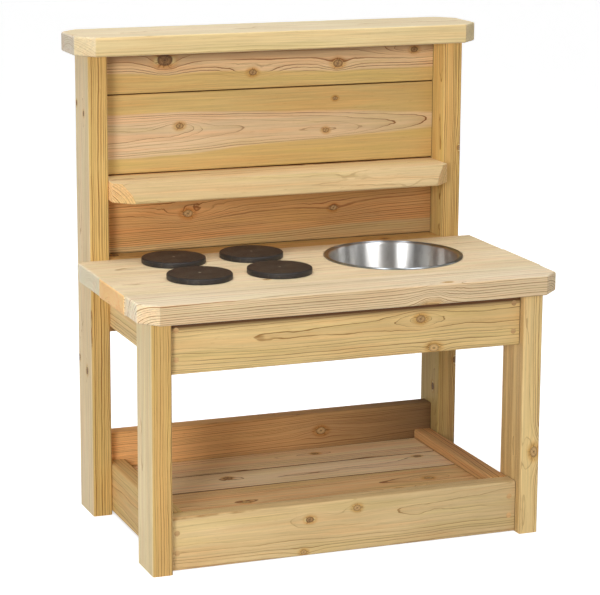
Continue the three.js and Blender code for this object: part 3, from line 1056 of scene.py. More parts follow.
def wood_material(name: str, sawn: Sawn, run: Run, centre: Vector, size: Vector) -> bpy.types.Material:
    """Make the material of one board.

    Args:
        name: The board's name.
        sawn: How the board lay in its log.
        run: The way its grain runs.
        centre: The middle of the board.
        size: The board's size along the frame's axes.

    Returns:
        The material.
    """
    material, graph, shader = new_material(f"{name} softwood")
    turn = run.turn()
    flat = centred_point(graph, centre, turn)
    rng = np.random.default_rng(sawn.seed)
    seed = tuple(float(value) for value in rng.uniform(-SEED_REACH, SEED_REACH, 3))
    state: dict[str, object] = {"Point": flat, **NO_KNOT}
    for knot in sawn.knots:
        state = KnotFlow.place(
            graph, **state, Flat=flat, Axis=knot.face.value,
            Centre=(knot.along * MM, knot.across * MM, knot.through * MM),
            Radius=knot.radius * MM, Stretch=knot.stretch, Own_Tone=knot.tone,
            Bulge=knot.bulge * MM, Spread=knot.spread * MM)
    normal = graph.node("ShaderNodeNewGeometry").outputs["Normal"]
    faces = [graph.vector("DOT_PRODUCT", normal, axis) for axis in turn]
    rings = GrowthRings.place(
        graph, Point=state["Point"], Swell=state["Swell"], Seed=seed,
        Pith=(0.0, sawn.pith[0] * MM, sawn.pith[1] * MM),
        Lean=(0.0, sawn.lean[0] * MM, sawn.lean[1] * MM), Wander=sawn.wander * MM,
        Pitch=sawn.pitch * MM, Width=sawn.line * MM, Normal=graph.joined(*faces))
    end = graph.span(graph.math("ABSOLUTE", faces[0]), *END_MASK)
    edge = graph.span(graph.math("ABSOLUTE", faces[1]), *EDGE_MASK)
    # mask of dark joints with painted shade, and of painted shadow below an overhang
    seam_and_shadow = seam_and_shadow_mask(graph, sawn, flat, [abs(side) / 2 for side in turn @ size])
    wood = sawn.wood
    made = Softwood.place(
        graph, Flat=flat, Point=state["Point"], Late=rings["Late"], Distance=rings["Distance"],
        Near=state["Near"], Tone=state["Tone"], Local=state["Local"], End=end,
        End_Tint=wood.end_tint, Seed=seed, **wood_colours(graph, sawn, edge),
        Heart_Reach=sawn.heart_reach * MM, Blush=wood.blush, Patch=wood.patch, Drift=sawn.tone_and_shade_drift,
        Seam=seam_and_shadow)
    graph.fill(shader, {"Base Color": made["Colour"], "Roughness": made["Roughness"],
                        "Specular IOR Level": WOOD_SPECULAR})
    add_bump(graph, shader, made["Height"], WOOD_RELIEF)
    return material


@dataclass(frozen=True)
class MouldedRubber:
    """Black moulded rubber of the hob discs, with a cut edge, a little dust and a pale pip in the middle."""

    colour: Colour = srgb(47, 43, 41)
    cloud_tint: Colour = (0.72, 0.72, 0.74)
    dusty: Colour = srgb(98, 86, 70)
    pip: Colour = srgb(168, 160, 140)
    least_roughness: float = 0.36
    cloud_roughness: float = 0.22
    side_gloss: float = -0.12
    specular: float = 0.3
    relief: float = 0.25 * MM
    cloud_noise: Numbers = (26.0, 4.0, 0.6)
    cloud_mask: Numbers = (0.35, 0.7)
    speck_noise: Numbers = (900.0, 2.0, 0.6)
    speck_mask: Numbers = (0.66, 0.8)
    scuff_noise: tuple[Stretch, float, float] = ((60.0, 420.0, 60.0), 3.0, 0.6)
    scuff_mask: Numbers = (0.56, 0.72)
    crumb_squash: Stretch = (1.0, 1.0, 0.5)
    crumb_noise: Numbers = (420.0, 3.0, 0.7)
    crumb_mask: Numbers = (0.56, 0.7)
    crumb_relief: float = 0.8
    dust_strengths: Numbers = (0.35, 0.3, 0.7)
    side_height: float = 10.5 * MM
    pip_mask: Numbers = (2.2 * MM, 3.6 * MM, 0.9)

    def material(self, name: str, centre: Vector) -> bpy.types.Material:
        """Make the material of one disc.

        Args:
            name: The disc's name.
            centre: The middle of its foot.

        Returns:
            The material.
        """
        material, graph, shader = new_material(f"{name} rubber")
        point = centred_point(graph, centre, UNIT)
        _, _, height = graph.parts(point)
        cloud = graph.noise(point, *self.cloud_noise)
        speck = graph.noise(point, *self.speck_noise)
        scuff = graph.streaks(point, *self.scuff_noise)
        reach = graph.length(point, ABOUT_Z)
        crumbs = graph.noise(graph.vector("MULTIPLY", point, self.crumb_squash), *self.crumb_noise)
        side = graph.fading(height, 0.0, self.side_height)
        loose = graph.times(graph.span(crumbs, *self.crumb_mask), side)
        on_specks, on_scuffs, on_side = self.dust_strengths
        colour = graph.stained(graph.span(cloud, *self.cloud_mask), self.colour, self.cloud_tint)
        for noise, limits, strength in (
                (speck, self.speck_mask, on_specks), (scuff, self.scuff_mask, on_scuffs)):
            colour = graph.mix(graph.times(graph.span(noise, *limits), strength), colour, self.dusty)
        colour = graph.mix(graph.times(loose, on_side), colour, self.dusty)
        colour = graph.mix(graph.fading(reach, *self.pip_mask), colour, self.pip)
        rough = graph.fused(cloud, self.cloud_roughness, self.least_roughness)
        rough = graph.fused(side, self.side_gloss, rough)
        graph.fill(shader, {
            "Base Color": colour, "Roughness": rough, "Specular IOR Level": self.specular})
        add_bump(graph, shader, graph.fused(crumbs, self.crumb_relief, speck), self.relief)
        return material


@dataclass(frozen=True)
class SpunSteel:
    """Spun stainless steel, with fine circular lines and a painted reflection that darkens and blues the
    flange.
    """

    colour: Colour = (0.66, 0.655, 0.64)
    dull: Colour = (0.52, 0.51, 0.49)
    least_roughness: float = 0.26
    ring_roughness: float = 0.12
    cloud_roughness: float = 0.08
    mark_roughness: float = 0.06
    rim_start: float = 148 * MM
    rim_fade: float = 3 * MM
    # painted reflection: blue-grey darkening of the flange
    painted_rim_reflection: Colour = (0.6, 0.67, 0.76)
    ring_noise: Numbers = (2600.0, 3.0, 0.7)
    cloud_noise: Numbers = (22.0, 3.0, 0.6)
    smear_squash: Stretch = (1.0, 1.0, 0.4)
    smear_noise: Numbers = (90.0, 3.0, 0.6)
    mark_mask: Numbers = (0.52, 0.72)
    mark_dullness: float = 0.5
    anisotropy: float = 0.97
    turn: float = 0.25
    relief: float = 0.02 * MM

    def material(self, name: str, centre: Vector) -> bpy.types.Material:
        """Make the steel's material.

        The lines are noise of the distance from the bowl's axis and of the height, so each runs round.

        Args:
            name: The piece's name.
            centre: A point on the bowl's axis.

        Returns:
            The material.
        """
        material, graph, shader = new_material(f"{name} steel")
        point = centred_point(graph, centre, UNIT)
        _, _, height = graph.parts(point)
        radius = graph.length(point, ABOUT_Z)
        rings = graph.noise(graph.joined(radius, height, 0.0), *self.ring_noise)
        cloud = graph.noise(point, *self.cloud_noise)
        smear = graph.noise(graph.vector("MULTIPLY", point, self.smear_squash), *self.smear_noise)
        mark = graph.span(smear, *self.mark_mask)
        colour = graph.mix(graph.times(mark, self.mark_dullness), self.colour, self.dull)
        # painted reflection: the flange is darkened and blued as where it mirrors its surroundings
        rim = graph.span(radius, self.rim_start, self.rim_start + self.rim_fade)
        colour = graph.stained(rim, colour, self.painted_rim_reflection)
        rough = graph.fused(rings, self.ring_roughness, self.least_roughness)
        rough = graph.fused(cloud, self.cloud_roughness, rough)
        rough = graph.fused(mark, self.mark_roughness, rough)
        tangent = graph.node("ShaderNodeTangent", direction_type="RADIAL", axis="Z")
        graph.fill(shader, {
            "Base Color": colour, "Roughness": rough, "Metallic": 1.0, "Tangent": tangent.outputs[0],
            "Anisotropic": self.anisotropy, "Anisotropic Rotation": self.turn})
        add_bump(graph, shader, rings, self.relief)
        return material


@dataclass(frozen=True)
class PlugWood:
    """Turned softwood plug, flush with its board, with a dark ring of dust in the gap round it."""

    colour: Colour = srgb(226, 190, 136)
    line: Colour = srgb(212, 168, 118)
    dust: Colour = srgb(116, 80, 46)
    dust_strength: float = 0.32
    dust_ring: Numbers = (5.6 * MM, 6.9 * MM)
    darkening: float = 0.35
    dark_tint: Colour = (1.0, 0.95, 0.88)
    grain_noise: tuple[Stretch, float, float] = ((60.0, 700.0, 700.0), 3.0, 0.6)
    grain_tone: Numbers = (0.3, 0.84)
    grain_roughness: Numbers = (0.2, 0.6)
    year_stretch: Stretch = (12.0, 260.0, 260.0)
    year_mask: Numbers = (0.42, 0.62)
    relief: float = 0.2 * MM

    def material(self, name: str, centre: Vector, tone: float) -> bpy.types.Material:
        """Make the material of one plug.

        Args:
            name: The plug's name.
            centre: The middle of its face.
            tone: How much darker than the usual plug it is, from 0 to 1.

        Returns:
            The material.
        """
        material, graph, shader = new_material(f"{name} softwood")
        point = centred_point(graph, centre, UNIT)
        distance = graph.length(point, ABOUT_Y)
        grain = graph.streaks(point, *self.grain_noise)
        years = graph.streaks(point, self.year_stretch)
        colour = graph.mix(graph.span(years, *self.year_mask), self.colour, self.line)
        shade = 1.0 - self.darkening * tone
        colour = graph.tinted(colour, tuple(shade * part for part in self.dark_tint))
        colour = graph.tinted(colour, graph.grey(graph.fused(grain, *self.grain_tone)))
        gap = graph.times(graph.span(distance, *self.dust_ring), self.dust_strength)
        graph.fill(shader, {"Base Color": graph.mix(gap, colour, self.dust),
                            "Roughness": graph.fused(grain, *self.grain_roughness)})
        add_bump(graph, shader, grain, self.relief)
        return material


# Boards


@dataclass
class Board:
    """A planed board or upright that stands for one solid."""

    node: str
    run: Run
    sawn: Sawn
    slot: str
    arris: float = 5 * MM
    arris_steps: int = 5
    end_ease: float = 1.2 * MM
    end_steps: int = 3
    clear_eases: int = 4
    station_gap: float = 70 * MM
    least_stations: int = 2
    unevenness: float = 0.25 * MM
    waves: Numbers = (1.0, 1.7, 2.9, 4.3)
    wave_rate: float = 9.0
    wave_seed: int = 900

    def bounds(self) -> tuple[np.ndarray, np.ndarray]:
        """Return the low and high corner of the solid."""
        low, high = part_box(self.node)
        return np.array(low), np.array(high)

    def shape(self) -> tuple[np.ndarray, Faces]:
        """Carry the board's rounded section along its grain.

        The planed faces are drawn in at each station by the unevenness times half the mean of
        sin(k x + a) plus one half, over the waves k with seeded phases a.

        Returns:
            The points, about the board's middle on axes along, across and through, and the faces.
        """
        low, high = self.bounds()
        along, across, through = np.abs(np.array(self.run.turn())) @ (high - low)
        outline = rounded_rectangle(across, through, self.arris, self.arris_steps)
        inner = along / 2 - self.clear_eases * self.end_ease
        count = max(self.least_stations, round(along / self.station_gap))
        stations = np.linspace(-inner, inner, count)
        rng = np.random.default_rng(self.sawn.seed + self.wave_seed)
        phase = rng.uniform(0, 2 * math.pi, (len(self.waves), 1))
        wave = np.sin(phase + np.outer(self.waves, stations * self.wave_rate))
        depth = (wave.mean(axis=0) / 2 + 0.5) * self.unevenness
        ease = np.full(len(outline), self.end_ease)
        points, faces = eased_slab(outline, ease, -along / 2, along / 2, self.end_steps, 0.0, stations, depth)
        return points[:, [2, 0, 1]], faces

    def build(self) -> bpy.types.Object:
        """Make the board and dress it.

        Returns:
            The board.
        """
        low, high = self.bounds()
        points, faces = self.shape()
        middle = (low + high) / 2
        placed = points @ np.array(self.run.turn()) + middle
        size = Vector((high - low).tolist())
        wood = wood_material(self.node, self.sawn, self.run, Vector(middle.tolist()), size)
        return make_piece(f"{self.node}_board", placed, faces, "kitchen", self.node, wood)


@dataclass
class TopBoard(Board):
    """A flat board of the worktop or the cap, with clipped corners or a bite for the bowl."""

    clip: tuple[float, float] = (0.0, 0.0)
    front_ease: float = 5 * MM
    rear_ease: float = 5 * MM
    side_ease: float = 5 * MM
    bite_ease: float = 1.2 * MM
    bite: tuple[float, float, float] | None = None
    bite_steps: int = 64
    corner: float = 2.5 * MM

    def plan(self, low: np.ndarray, high: np.ndarray) -> tuple[np.ndarray, np.ndarray]:
        """Draw the board's outline from above, with the ease of each edge.

        Args:
            low: The solid's low corner.
            high: The solid's high corner.

        Returns:
            The corners, anticlockwise from the front left, and the ease of the edge after each.
        """
        x0, y0 = low[:2]
        x1, y1 = high[:2]
        front, rear = self.clip
        side = self.side_ease
        rows = np.array([
            [x0 + front, y0, self.front_ease], *self.bitten(y0, True, self.front_ease),
            [x1 - front, y0, side], [x1, y0 + front, side], [x1, y1 - rear, side],
            [x1 - rear, y1, self.rear_ease], *self.bitten(y1, False, self.rear_ease),
            [x0 + rear, y1, side], [x0, y1 - rear, side], [x0, y0 + front, side],
        ])
        following = np.roll(rows, -1, axis=0)
        rows = rows[np.abs(following - rows)[:, :2].max(axis=1) > SAME_PLACE]
        return rows[:, :2], rows[:, 2]

    def bitten(self, edge: float, front: bool, ease: float) -> list[list[float]]:
        """List the bite's corners where the bowl's opening crosses an edge.

        Args:
            edge: The edge's place from front to back.
            front: True for the front edge, which runs to the right.
            ease: Ease of what is left of the edge.

        Returns:
            Corners in the outline's order, or nothing where the opening misses the edge.
        """
        if self.bite is None or abs(edge - self.bite[1]) >= self.bite[2]:
            return []
        x, y, radius = self.bite
        reach = math.asin((edge - y) / radius)
        start, end = (math.pi - reach, reach) if front else (reach, -math.pi - reach)
        points = arc_points((x, y), radius, start, end, self.bite_steps)
        eases = np.append(np.full(self.bite_steps, self.bite_ease), ease)
        return np.column_stack([points, eases]).tolist()

    def shape(self) -> tuple[np.ndarray, Faces]:
        """Carry the plan up through the board's thickness, with rounded rims.

        Returns:
            The points, about the board's middle, and the faces.
        """
        low, high = self.bounds()
        outline, ease = self.plan(low, high)
        middle = (low + high) / 2
        half = (high[2] - low[2]) / 2
        return eased_slab(outline - middle[:2], ease, -half, half, self.arris_steps, self.corner)


@dataclass
class Shelf(Board):
    """The shelf: a board with a bevelled nose and its front corners cut off."""

    bevel_run: float = 19 * MM
    bevel_drop: float = 24.5 * MM
    nose_lean: float = 5 * MM
    nose_ease: float = 4 * MM
    nose_steps: int = 4
    corner_cut: float = 42 * MM
    edge: float = 1.4 * MM
    edge_steps: int = 3
    edge_turn: float = 22.0

    def section(self, low: np.ndarray, high: np.ndarray) -> np.ndarray:
        """Draw the shelf's section from back to front over the top and back along the underside.

        Args:
            low: The solid's low corner.
            high: The solid's high corner.

        Returns:
            The corners, from front to back and up.
        """
        front, back, foot, top = low[1], high[1], low[2], high[2]
        cut = front + self.corner_cut
        lip = front + self.nose_lean
        share = np.linspace(0, 1, self.nose_steps + 1)[:, None]
        bend = ((1 - share) ** 2 * [front, foot + self.nose_ease] + 2 * share * (1 - share)
                * [front, foot] + share ** 2 * [front + self.nose_ease, foot])
        above = [[back, top], [cut, top], [lip + self.bevel_run, top], [lip, top - self.bevel_drop]]
        return np.array([*above, *bend.tolist(), [cut, foot], [back, foot]])

    def shape(self) -> tuple[np.ndarray, Faces]:
        """Carry the section from end to end, drawn in where the corners are cut.

        A corner of the section at y runs out to x = half the length - max(0, cut - y).

        Returns:
            The points, about the shelf's middle, and the faces.
        """
        low, high = self.bounds()
        section = self.section(low, high)
        cut = low[1] + self.corner_cut
        reach = (high[0] - low[0]) / 2 - np.maximum(0, cut - section[:, 0])
        left = np.column_stack([-reach, section])
        right = np.column_stack([reach, section])
        count = len(section)
        faces = bridged(2, count)
        end_face = [0, 1, count - 2, count - 1]
        cut_face = list(range(1, count - 1))
        faces += [tuple(end_face[::-1]), tuple(cut_face[::-1])]
        faces += [tuple(count + corner for corner in end_face), tuple(count + corner for corner in cut_face)]
        return np.concatenate([left, right]) - (low + high) / 2, faces

    def build(self) -> bpy.types.Object:
        """Make the shelf with eased edges and dress it.

        Returns:
            The shelf.
        """
        piece = super().build()
        ease = piece.modifiers.new("eased edges", "BEVEL")
        ease.width = self.edge
        ease.segments = self.edge_steps
        ease.limit_method = "ANGLE"
        ease.angle_limit = math.radians(self.edge_turn)
        piece.modifiers.move(1, 0)
        return piece


# Hob discs, bowl and plugs


@dataclass
class HobDisc:
    """A moulded disc that lies on the worktop, with a rounded top edge and a pip in its middle."""

    node: str
    seed: int
    rubber: MouldedRubber = MouldedRubber()
    top_ease: float = 3.5 * MM
    foot_ease: float = 1.2 * MM
    pip_radius: float = 1.6 * MM
    pip_height: float = 0.8 * MM
    raggedness: float = 0.5 * MM
    steps: int = 192
    top_steps: int = 6
    foot_steps: int = 3
    pip_steps: int = 3
    wall_steps: int = 5
    pip_start: float = math.pi / 5
    pip_skirt: float = 1.4
    plate_shares: Numbers = (0.6, 0.25)
    waves: tuple[int, ...] = (3, 7, 13, 29, 47)
    wave_sizes: Numbers = (0.34, 0.24, 0.18, 0.14, 0.1)
    wave_slant: float = 160.0
    crease: float = 50.0

    def profile(self, radius: float, height: float) -> np.ndarray:
        """Draw the disc's profile, from the foot of its axis over the rim to the pip.

        Args:
            radius: Radius of the disc.
            height: Its thickness without the pip.

        Returns:
            Radius and height of each point.
        """
        quarter = math.pi / 2
        top = arc_points((radius - self.top_ease, height - self.top_ease), self.top_ease,
                         0, quarter, self.top_steps)
        foot = arc_points((radius - self.foot_ease, self.foot_ease), self.foot_ease,
                          -quarter, 0, self.foot_steps)
        pip = arc_points((0, height), self.pip_height, self.pip_start, quarter, self.pip_steps)
        pip[:, 0] *= self.pip_radius / self.pip_height
        walls = np.linspace(foot[-1], top[0], self.wall_steps)[1:-1]
        plate = [[radius * share, height] for share in self.plate_shares]
        skirt = [[self.pip_radius * self.pip_skirt, height]]
        return np.concatenate([[[0, 0]], foot, walls, top, plate, skirt, pip])

    def swell(self, profile: np.ndarray, radius: float) -> np.ndarray:
        """Make the moulded edge a little ragged.

        The rim is drawn in by the raggedness times half the sum of s sin(n a + p) plus one half, over
        the waves n of size s round it, with a phase p that shifts with the height. The rings further in
        are drawn in by that times (r / R) squared.

        Args:
            profile: Radius and height of each ring.
            radius: Radius of the disc.

        Returns:
            A factor on the radius for each ring and each angle.
        """
        rng = np.random.default_rng(self.seed)
        angle = np.linspace(0, 2 * math.pi, self.steps, endpoint=False)
        count = len(self.waves)
        slant = profile[:, 1][:, None, None] * rng.uniform(-self.wave_slant, self.wave_slant, (1, count, 1))
        phase = rng.uniform(0, 2 * math.pi, (1, count, 1)) + slant
        wave = np.sin(np.array(self.waves)[None, :, None] * angle[None, None, :] + phase)
        ragged = (wave * np.array(self.wave_sizes)[None, :, None]).sum(axis=1) / 2 + 0.5
        weight = (profile[:, 0] / radius) ** 2
        return 1 - ragged * weight[:, None] * self.raggedness / radius

    def build(self) -> bpy.types.Object:
        """Make the disc and dress it.

        Returns:
            The disc.
        """
        low, high = (np.array(corner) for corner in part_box(self.node))
        middle = np.array([*((low + high) / 2)[:2], low[2]])
        radius = (high[0] - low[0]) / 2
        profile = self.profile(radius, high[2] - low[2] - self.pip_height)
        points, faces = revolved(profile, self.steps, self.swell(profile, radius))
        rubber = self.rubber.material(self.node, Vector(middle.tolist()))
        return make_piece(f"{self.node}_disc", points + middle, faces, "kitchen", self.node,
                          rubber, self.crease)


@dataclass
class Bowl:
    """The lift-out bowl: one spun sheet with a rolled rim, a flat flange and a rounded foot."""

    node: str = "bowl"
    steel: SpunSteel = SpunSteel()
    flange: float = 12 * MM
    taper: float = 7 * MM
    foot_curve: float = 42 * MM
    sheet: float = 1.2 * MM
    bead: float = 2 * MM
    shoulder: float = 4 * MM
    steps: int = 192
    foot_steps: int = 20
    shoulder_steps: int = 8
    bead_steps: int = 24
    wall_steps: int = 14
    floor_steps: int = 6
    crease: float = 60.0

    def profile(self, radius: float, depth: float) -> np.ndarray:
        """Draw the sheet's profile: up the outside, round the rolled rim and down the inside.

        Args:
            radius: Radius of the rim.
            depth: How far the foot lies below the rim's foot.

        Returns:
            Radius and height of each point, from the foot of the axis.
        """
        quarter = math.pi / 2
        wall = radius - self.flange
        foot = wall - self.taper
        shoulder = (wall + self.shoulder, self.bead - self.sheet / 2 - self.shoulder)
        corner = (foot - self.foot_curve, self.foot_curve - depth)
        bead = (radius - self.bead, self.bead)
        start = math.asin(self.sheet / 2 / self.bead)
        outer = arc_points(corner, self.foot_curve, -quarter, 0, self.foot_steps)
        rise = arc_points(shoulder, self.shoulder, 2 * quarter, quarter, self.shoulder_steps)
        roll = arc_points(bead, self.bead, start - 2 * quarter, 2 * quarter - start, self.bead_steps)
        fall = arc_points(shoulder, self.shoulder + self.sheet, quarter, 2 * quarter, self.shoulder_steps)
        inner = arc_points(corner, self.foot_curve - self.sheet, 0, -quarter, self.foot_steps)
        up = np.linspace(outer[-1], rise[0], self.wall_steps)[1:-1]
        down = np.linspace(fall[-1], inner[0], self.wall_steps)[1:-1]
        radii = np.linspace(0, 1, self.floor_steps)[1:-1, None]
        under = [0, -depth] + (outer[0] - [0, -depth]) * radii
        floor_top = self.sheet - depth
        over = (inner[-1] - [0, floor_top]) * radii[::-1] + [0, floor_top]
        return np.concatenate([[[0, -depth]], under, outer, up, rise, roll, fall, down, inner,
                               over, [[0, floor_top]]])

    def build(self) -> bpy.types.Object:
        """Make the bowl and dress it.

        Returns:
            The bowl.
        """
        low, high = (np.array(corner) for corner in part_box(self.node))
        seat = high[2] - 2 * self.bead
        middle = np.array([*((low + high) / 2)[:2], seat])
        profile = self.profile((high[0] - low[0]) / 2, seat - low[2])
        points, faces = revolved(profile, self.steps)
        steel = self.steel.material(self.node, Vector(middle.tolist()))
        return make_piece("bowl_spun", points + middle, faces, "bowl", self.node, steel,
                          self.crease)


@dataclass
class Plugs:
    """The plugs over the screws, which keep their solids and get their own wood."""

    wood: PlugWood = PlugWood()
    darkest: str = "front_apron_plug_right_upper"
    tone_step: float = 0.25
    tones: int = 3

    def build(self) -> None:
        """Dress every plug."""
        for index, node in enumerate(name for name in frame["nodes"] if "_plug_" in name):
            low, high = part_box(node)
            centre = (low + high) / 2
            centre.y = low.y
            tone = 1.0 if node == self.darkest else self.tone_step * (index % self.tones)
            plug = bpy.data.objects[node]
            plug.data.materials.clear()
            plug.data.materials.append(self.wood.material(node, centre, tone))
            LOG.info("%s: dressed", node)


# The kitchen


@dataclass
class Carcass:
    """Uprights, legs, rails and apron."""

    def boards(self) -> list[Board]:
        """List the boards.

        Returns:
            The boards in building order.
        """
        # the uprights' pale wide faces and golden edges are partly painted light from the left
        painted_lit_pale = Wood(srgb(243, 221, 180), srgb(243, 221, 180), 0.8, 0.8, (0.72, 0.6, 0.44), blush=0.2)
        amber = Wood(srgb(218, 182, 112), srgb(210, 164, 100), 1.0, 1.0, (0.4, 0.25, 0.12))
        ember = Wood(srgb(200, 165, 101), srgb(192, 150, 90), 1.0, 1.0, (0.4, 0.25, 0.12))
        honey = Wood(srgb(206, 178, 116), srgb(198, 162, 102), 0.9, 0.9, (0.5, 0.36, 0.2))
        linen = Wood(srgb(243, 223, 178), srgb(243, 223, 178), 0.8, 0.8, (0.7, 0.58, 0.4), blush=0.2)
        brass = Wood(srgb(218, 180, 112), srgb(210, 166, 100), 1.0, 1.0, (0.34, 0.2, 0.09))
        straw = Wood(srgb(231, 201, 142), srgb(226, 190, 132), 1.0, 1.0, (0.4, 0.27, 0.12), blush=0.25)
        fawn = Wood(srgb(244, 216, 162), srgb(236, 200, 146), 0.9, 0.9, (0.46, 0.32, 0.17))
        wheat = Wood(srgb(236, 206, 146), srgb(234, 200, 138), 1.0, 1.0, (0.36, 0.19, 0.08), blush=0.1)
        return [
            Board("back_post_left", Run.UPRIGHT, Sawn(
                painted_lit_pale, (20, -70), (8, 6), 3.6, 9, 1.9, seed=11, painted_light_edge_wood=amber, knots=(
                    Knot(417, 40.5, 4, 0.8, through=19), Knot(400, -15.5, 4, 0.8, through=19),
                    Knot(-176, 46.5, 5, 0.9, through=19), Knot(-194, -16.5, 5.5, 0.9, through=19))),
                "softwood_pale"),
            # its tone_and_shade_drift darkens the lower post: painted shade below the worktop
            Board("back_post_right", Run.UPRIGHT, Sawn(
                honey, (-40, -60), (12, 10), 3.8, line=1.9, seed=12, tone_and_shade_drift=0.75, painted_light_edge_wood=ember, knots=(
                    Knot(282, 0, 4, 0.8, Face.EDGE, -18.5), Knot(-236, 0, 5, 0.9, Face.EDGE, -19),
                    Knot(-307, -19, 6, 0.95, through=19), Knot(-494, 0, 4, 0.8, Face.EDGE, 6))),
                "softwood_pale"),
            Board("front_leg_left", Run.UPRIGHT, Sawn(
                linen, (20, -60), (8, 6), 4.2, 9, 2.2, seed=13, painted_light_edge_wood=brass), "softwood_golden"),
            Board("front_leg_right", Run.UPRIGHT, Sawn(
                wheat, (-14, 15), (10, 4), 3.4, 8, 1.9, seed=14, knots=(
                    Knot(-88, 0, 8.5, 0.3, Face.EDGE, -9, bulge=9, spread=40),)), "softwood_golden"),
            # its shade is the worktop's painted shadow along the top of the apron
            Board("front_apron", Run.PANEL, Sawn(
                straw, (8, -20), (4, 8), 4.5, 8, 1.8, seed=15, seams=(1.6, 0), shade=(32, 2.4), knots=(
                    Knot(202, -51, 8, 0.1, bulge=5, spread=40),
                    Knot(169, 17.2, 7.5, 0.4, bulge=10, spread=60))), "softwood_golden"),
            Board("side_rail_left", Run.RAIL, Sawn(fawn, (-10, -60), (10, 10), 4.4, seed=16),
                  "softwood_golden"),
            Board("side_rail_right", Run.RAIL, Sawn(fawn, (10, -60), (10, 10), 4.8, seed=17),
                  "softwood_golden"),
        ]


@dataclass
class Back:
    """Boards of the back, the shelf and the cap."""

    # dark joints of the back boards, with painted shade in them
    seams: tuple[float, float] = (1.5, 1.6)
    clip: float = 40 * MM

    def boards(self) -> list[Board]:
        """List the boards.

        Returns:
            The boards in building order.
        """
        russet = Wood(srgb(208, 175, 122), srgb(212, 162, 103), 0.8, 0.85, (0.38, 0.23, 0.12), patch=0.5)
        tan = Wood(srgb(214, 181, 117), srgb(224, 195, 155), 0.12, 1.0, (0.36, 0.2, 0.1), blush=0.4)
        olive = Wood(srgb(218, 186, 121), srgb(229, 197, 152), 0.15, 1.0, (0.34, 0.19, 0.09), blush=0.4)
        # the cap's and shelf's tops are paler than their edges: partly painted light from above
        cream = Wood(srgb(228, 213, 182), srgb(228, 213, 182), 0.8, 0.8, (0.66, 0.52, 0.34),
                     (1.09, 1.14, 1.35), blush=0.2)
        biscuit = Wood(srgb(230, 206, 153), srgb(226, 198, 146), 0.4, 0.4, (0.6, 0.46, 0.3))
        shell = Wood(srgb(238, 214, 170), srgb(234, 206, 160), 0.85, 0.85, (0.55, 0.4, 0.24),
                     (1.3, 1.14, 0.98))
        rind = Wood(srgb(214, 187, 140), srgb(210, 180, 132), 1.0, 1.0, (0.45, 0.3, 0.15))
        return [
            Board("panel_board_1", Run.PANEL, Sawn(russet, (0, -50), (10, 10), 5.0, seed=21),
                  "softwood_brown"),
            # its tone_and_shade_drift darkens it to the right: painted shade below the shelf
            Board("panel_board_2", Run.PANEL, Sawn(
                russet, (72, -30), (26, -8), 4.6, heart_reach=147, seed=22, tone_and_shade_drift=-0.45,
                seams=self.seams, knots=(
                    Knot(-203, -8.5, 8, 0.4, bulge=20, spread=95),
                    Knot(159, -16.5, 6, 0.5, bulge=10, spread=70))), "softwood_brown"),
            Board("panel_board_3", Run.PANEL, Sawn(
                tan, (-2, -15.6), (10, -35.5), 5.0, heart_reach=55, seed=23, tone_and_shade_drift=-0.12,
                seams=self.seams, knots=(
                    Knot(-222, 13.5, 6, 0.6, bulge=10), Knot(138, -13.5, 5, 0.5, bulge=9, spread=90),
                    Knot(161, 60.5, 4, 0.6, bulge=4))),
                "softwood_tan"),
            # its shade is the cap's painted shadow along the top of this board
            Board("panel_board_4", Run.PANEL, Sawn(
                olive, (60, -30), (-10, 8), 5.0, heart_reach=86, seed=24, seams=self.seams,
                shade=(43, 0.8), knots=(
                    Knot(-257, 24.6, 12, 0.9, bulge=10, spread=50),
                    Knot(-44, -11.3, 6.5, 0.6, bulge=14, spread=70),
                    Knot(167, 1.6, 8, 0.6, bulge=9, spread=45),
                    Knot(361, 26.6, 6, 0.7, bulge=12, spread=90))), "softwood_tan"),
            Shelf("shelf", Run.FLAT, Sawn(
                shell, (20, -50), (10, 10), 4.6, line=2.4, seed=25, painted_light_edge_wood=rind), "softwood_pale"),
            TopBoard("cap", Run.FLAT, Sawn(
                cream, (-10, -90), (8, 10), 5.0, seed=26, painted_light_edge_wood=biscuit),
                "softwood_pale", clip=(self.clip, self.clip)),
        ]


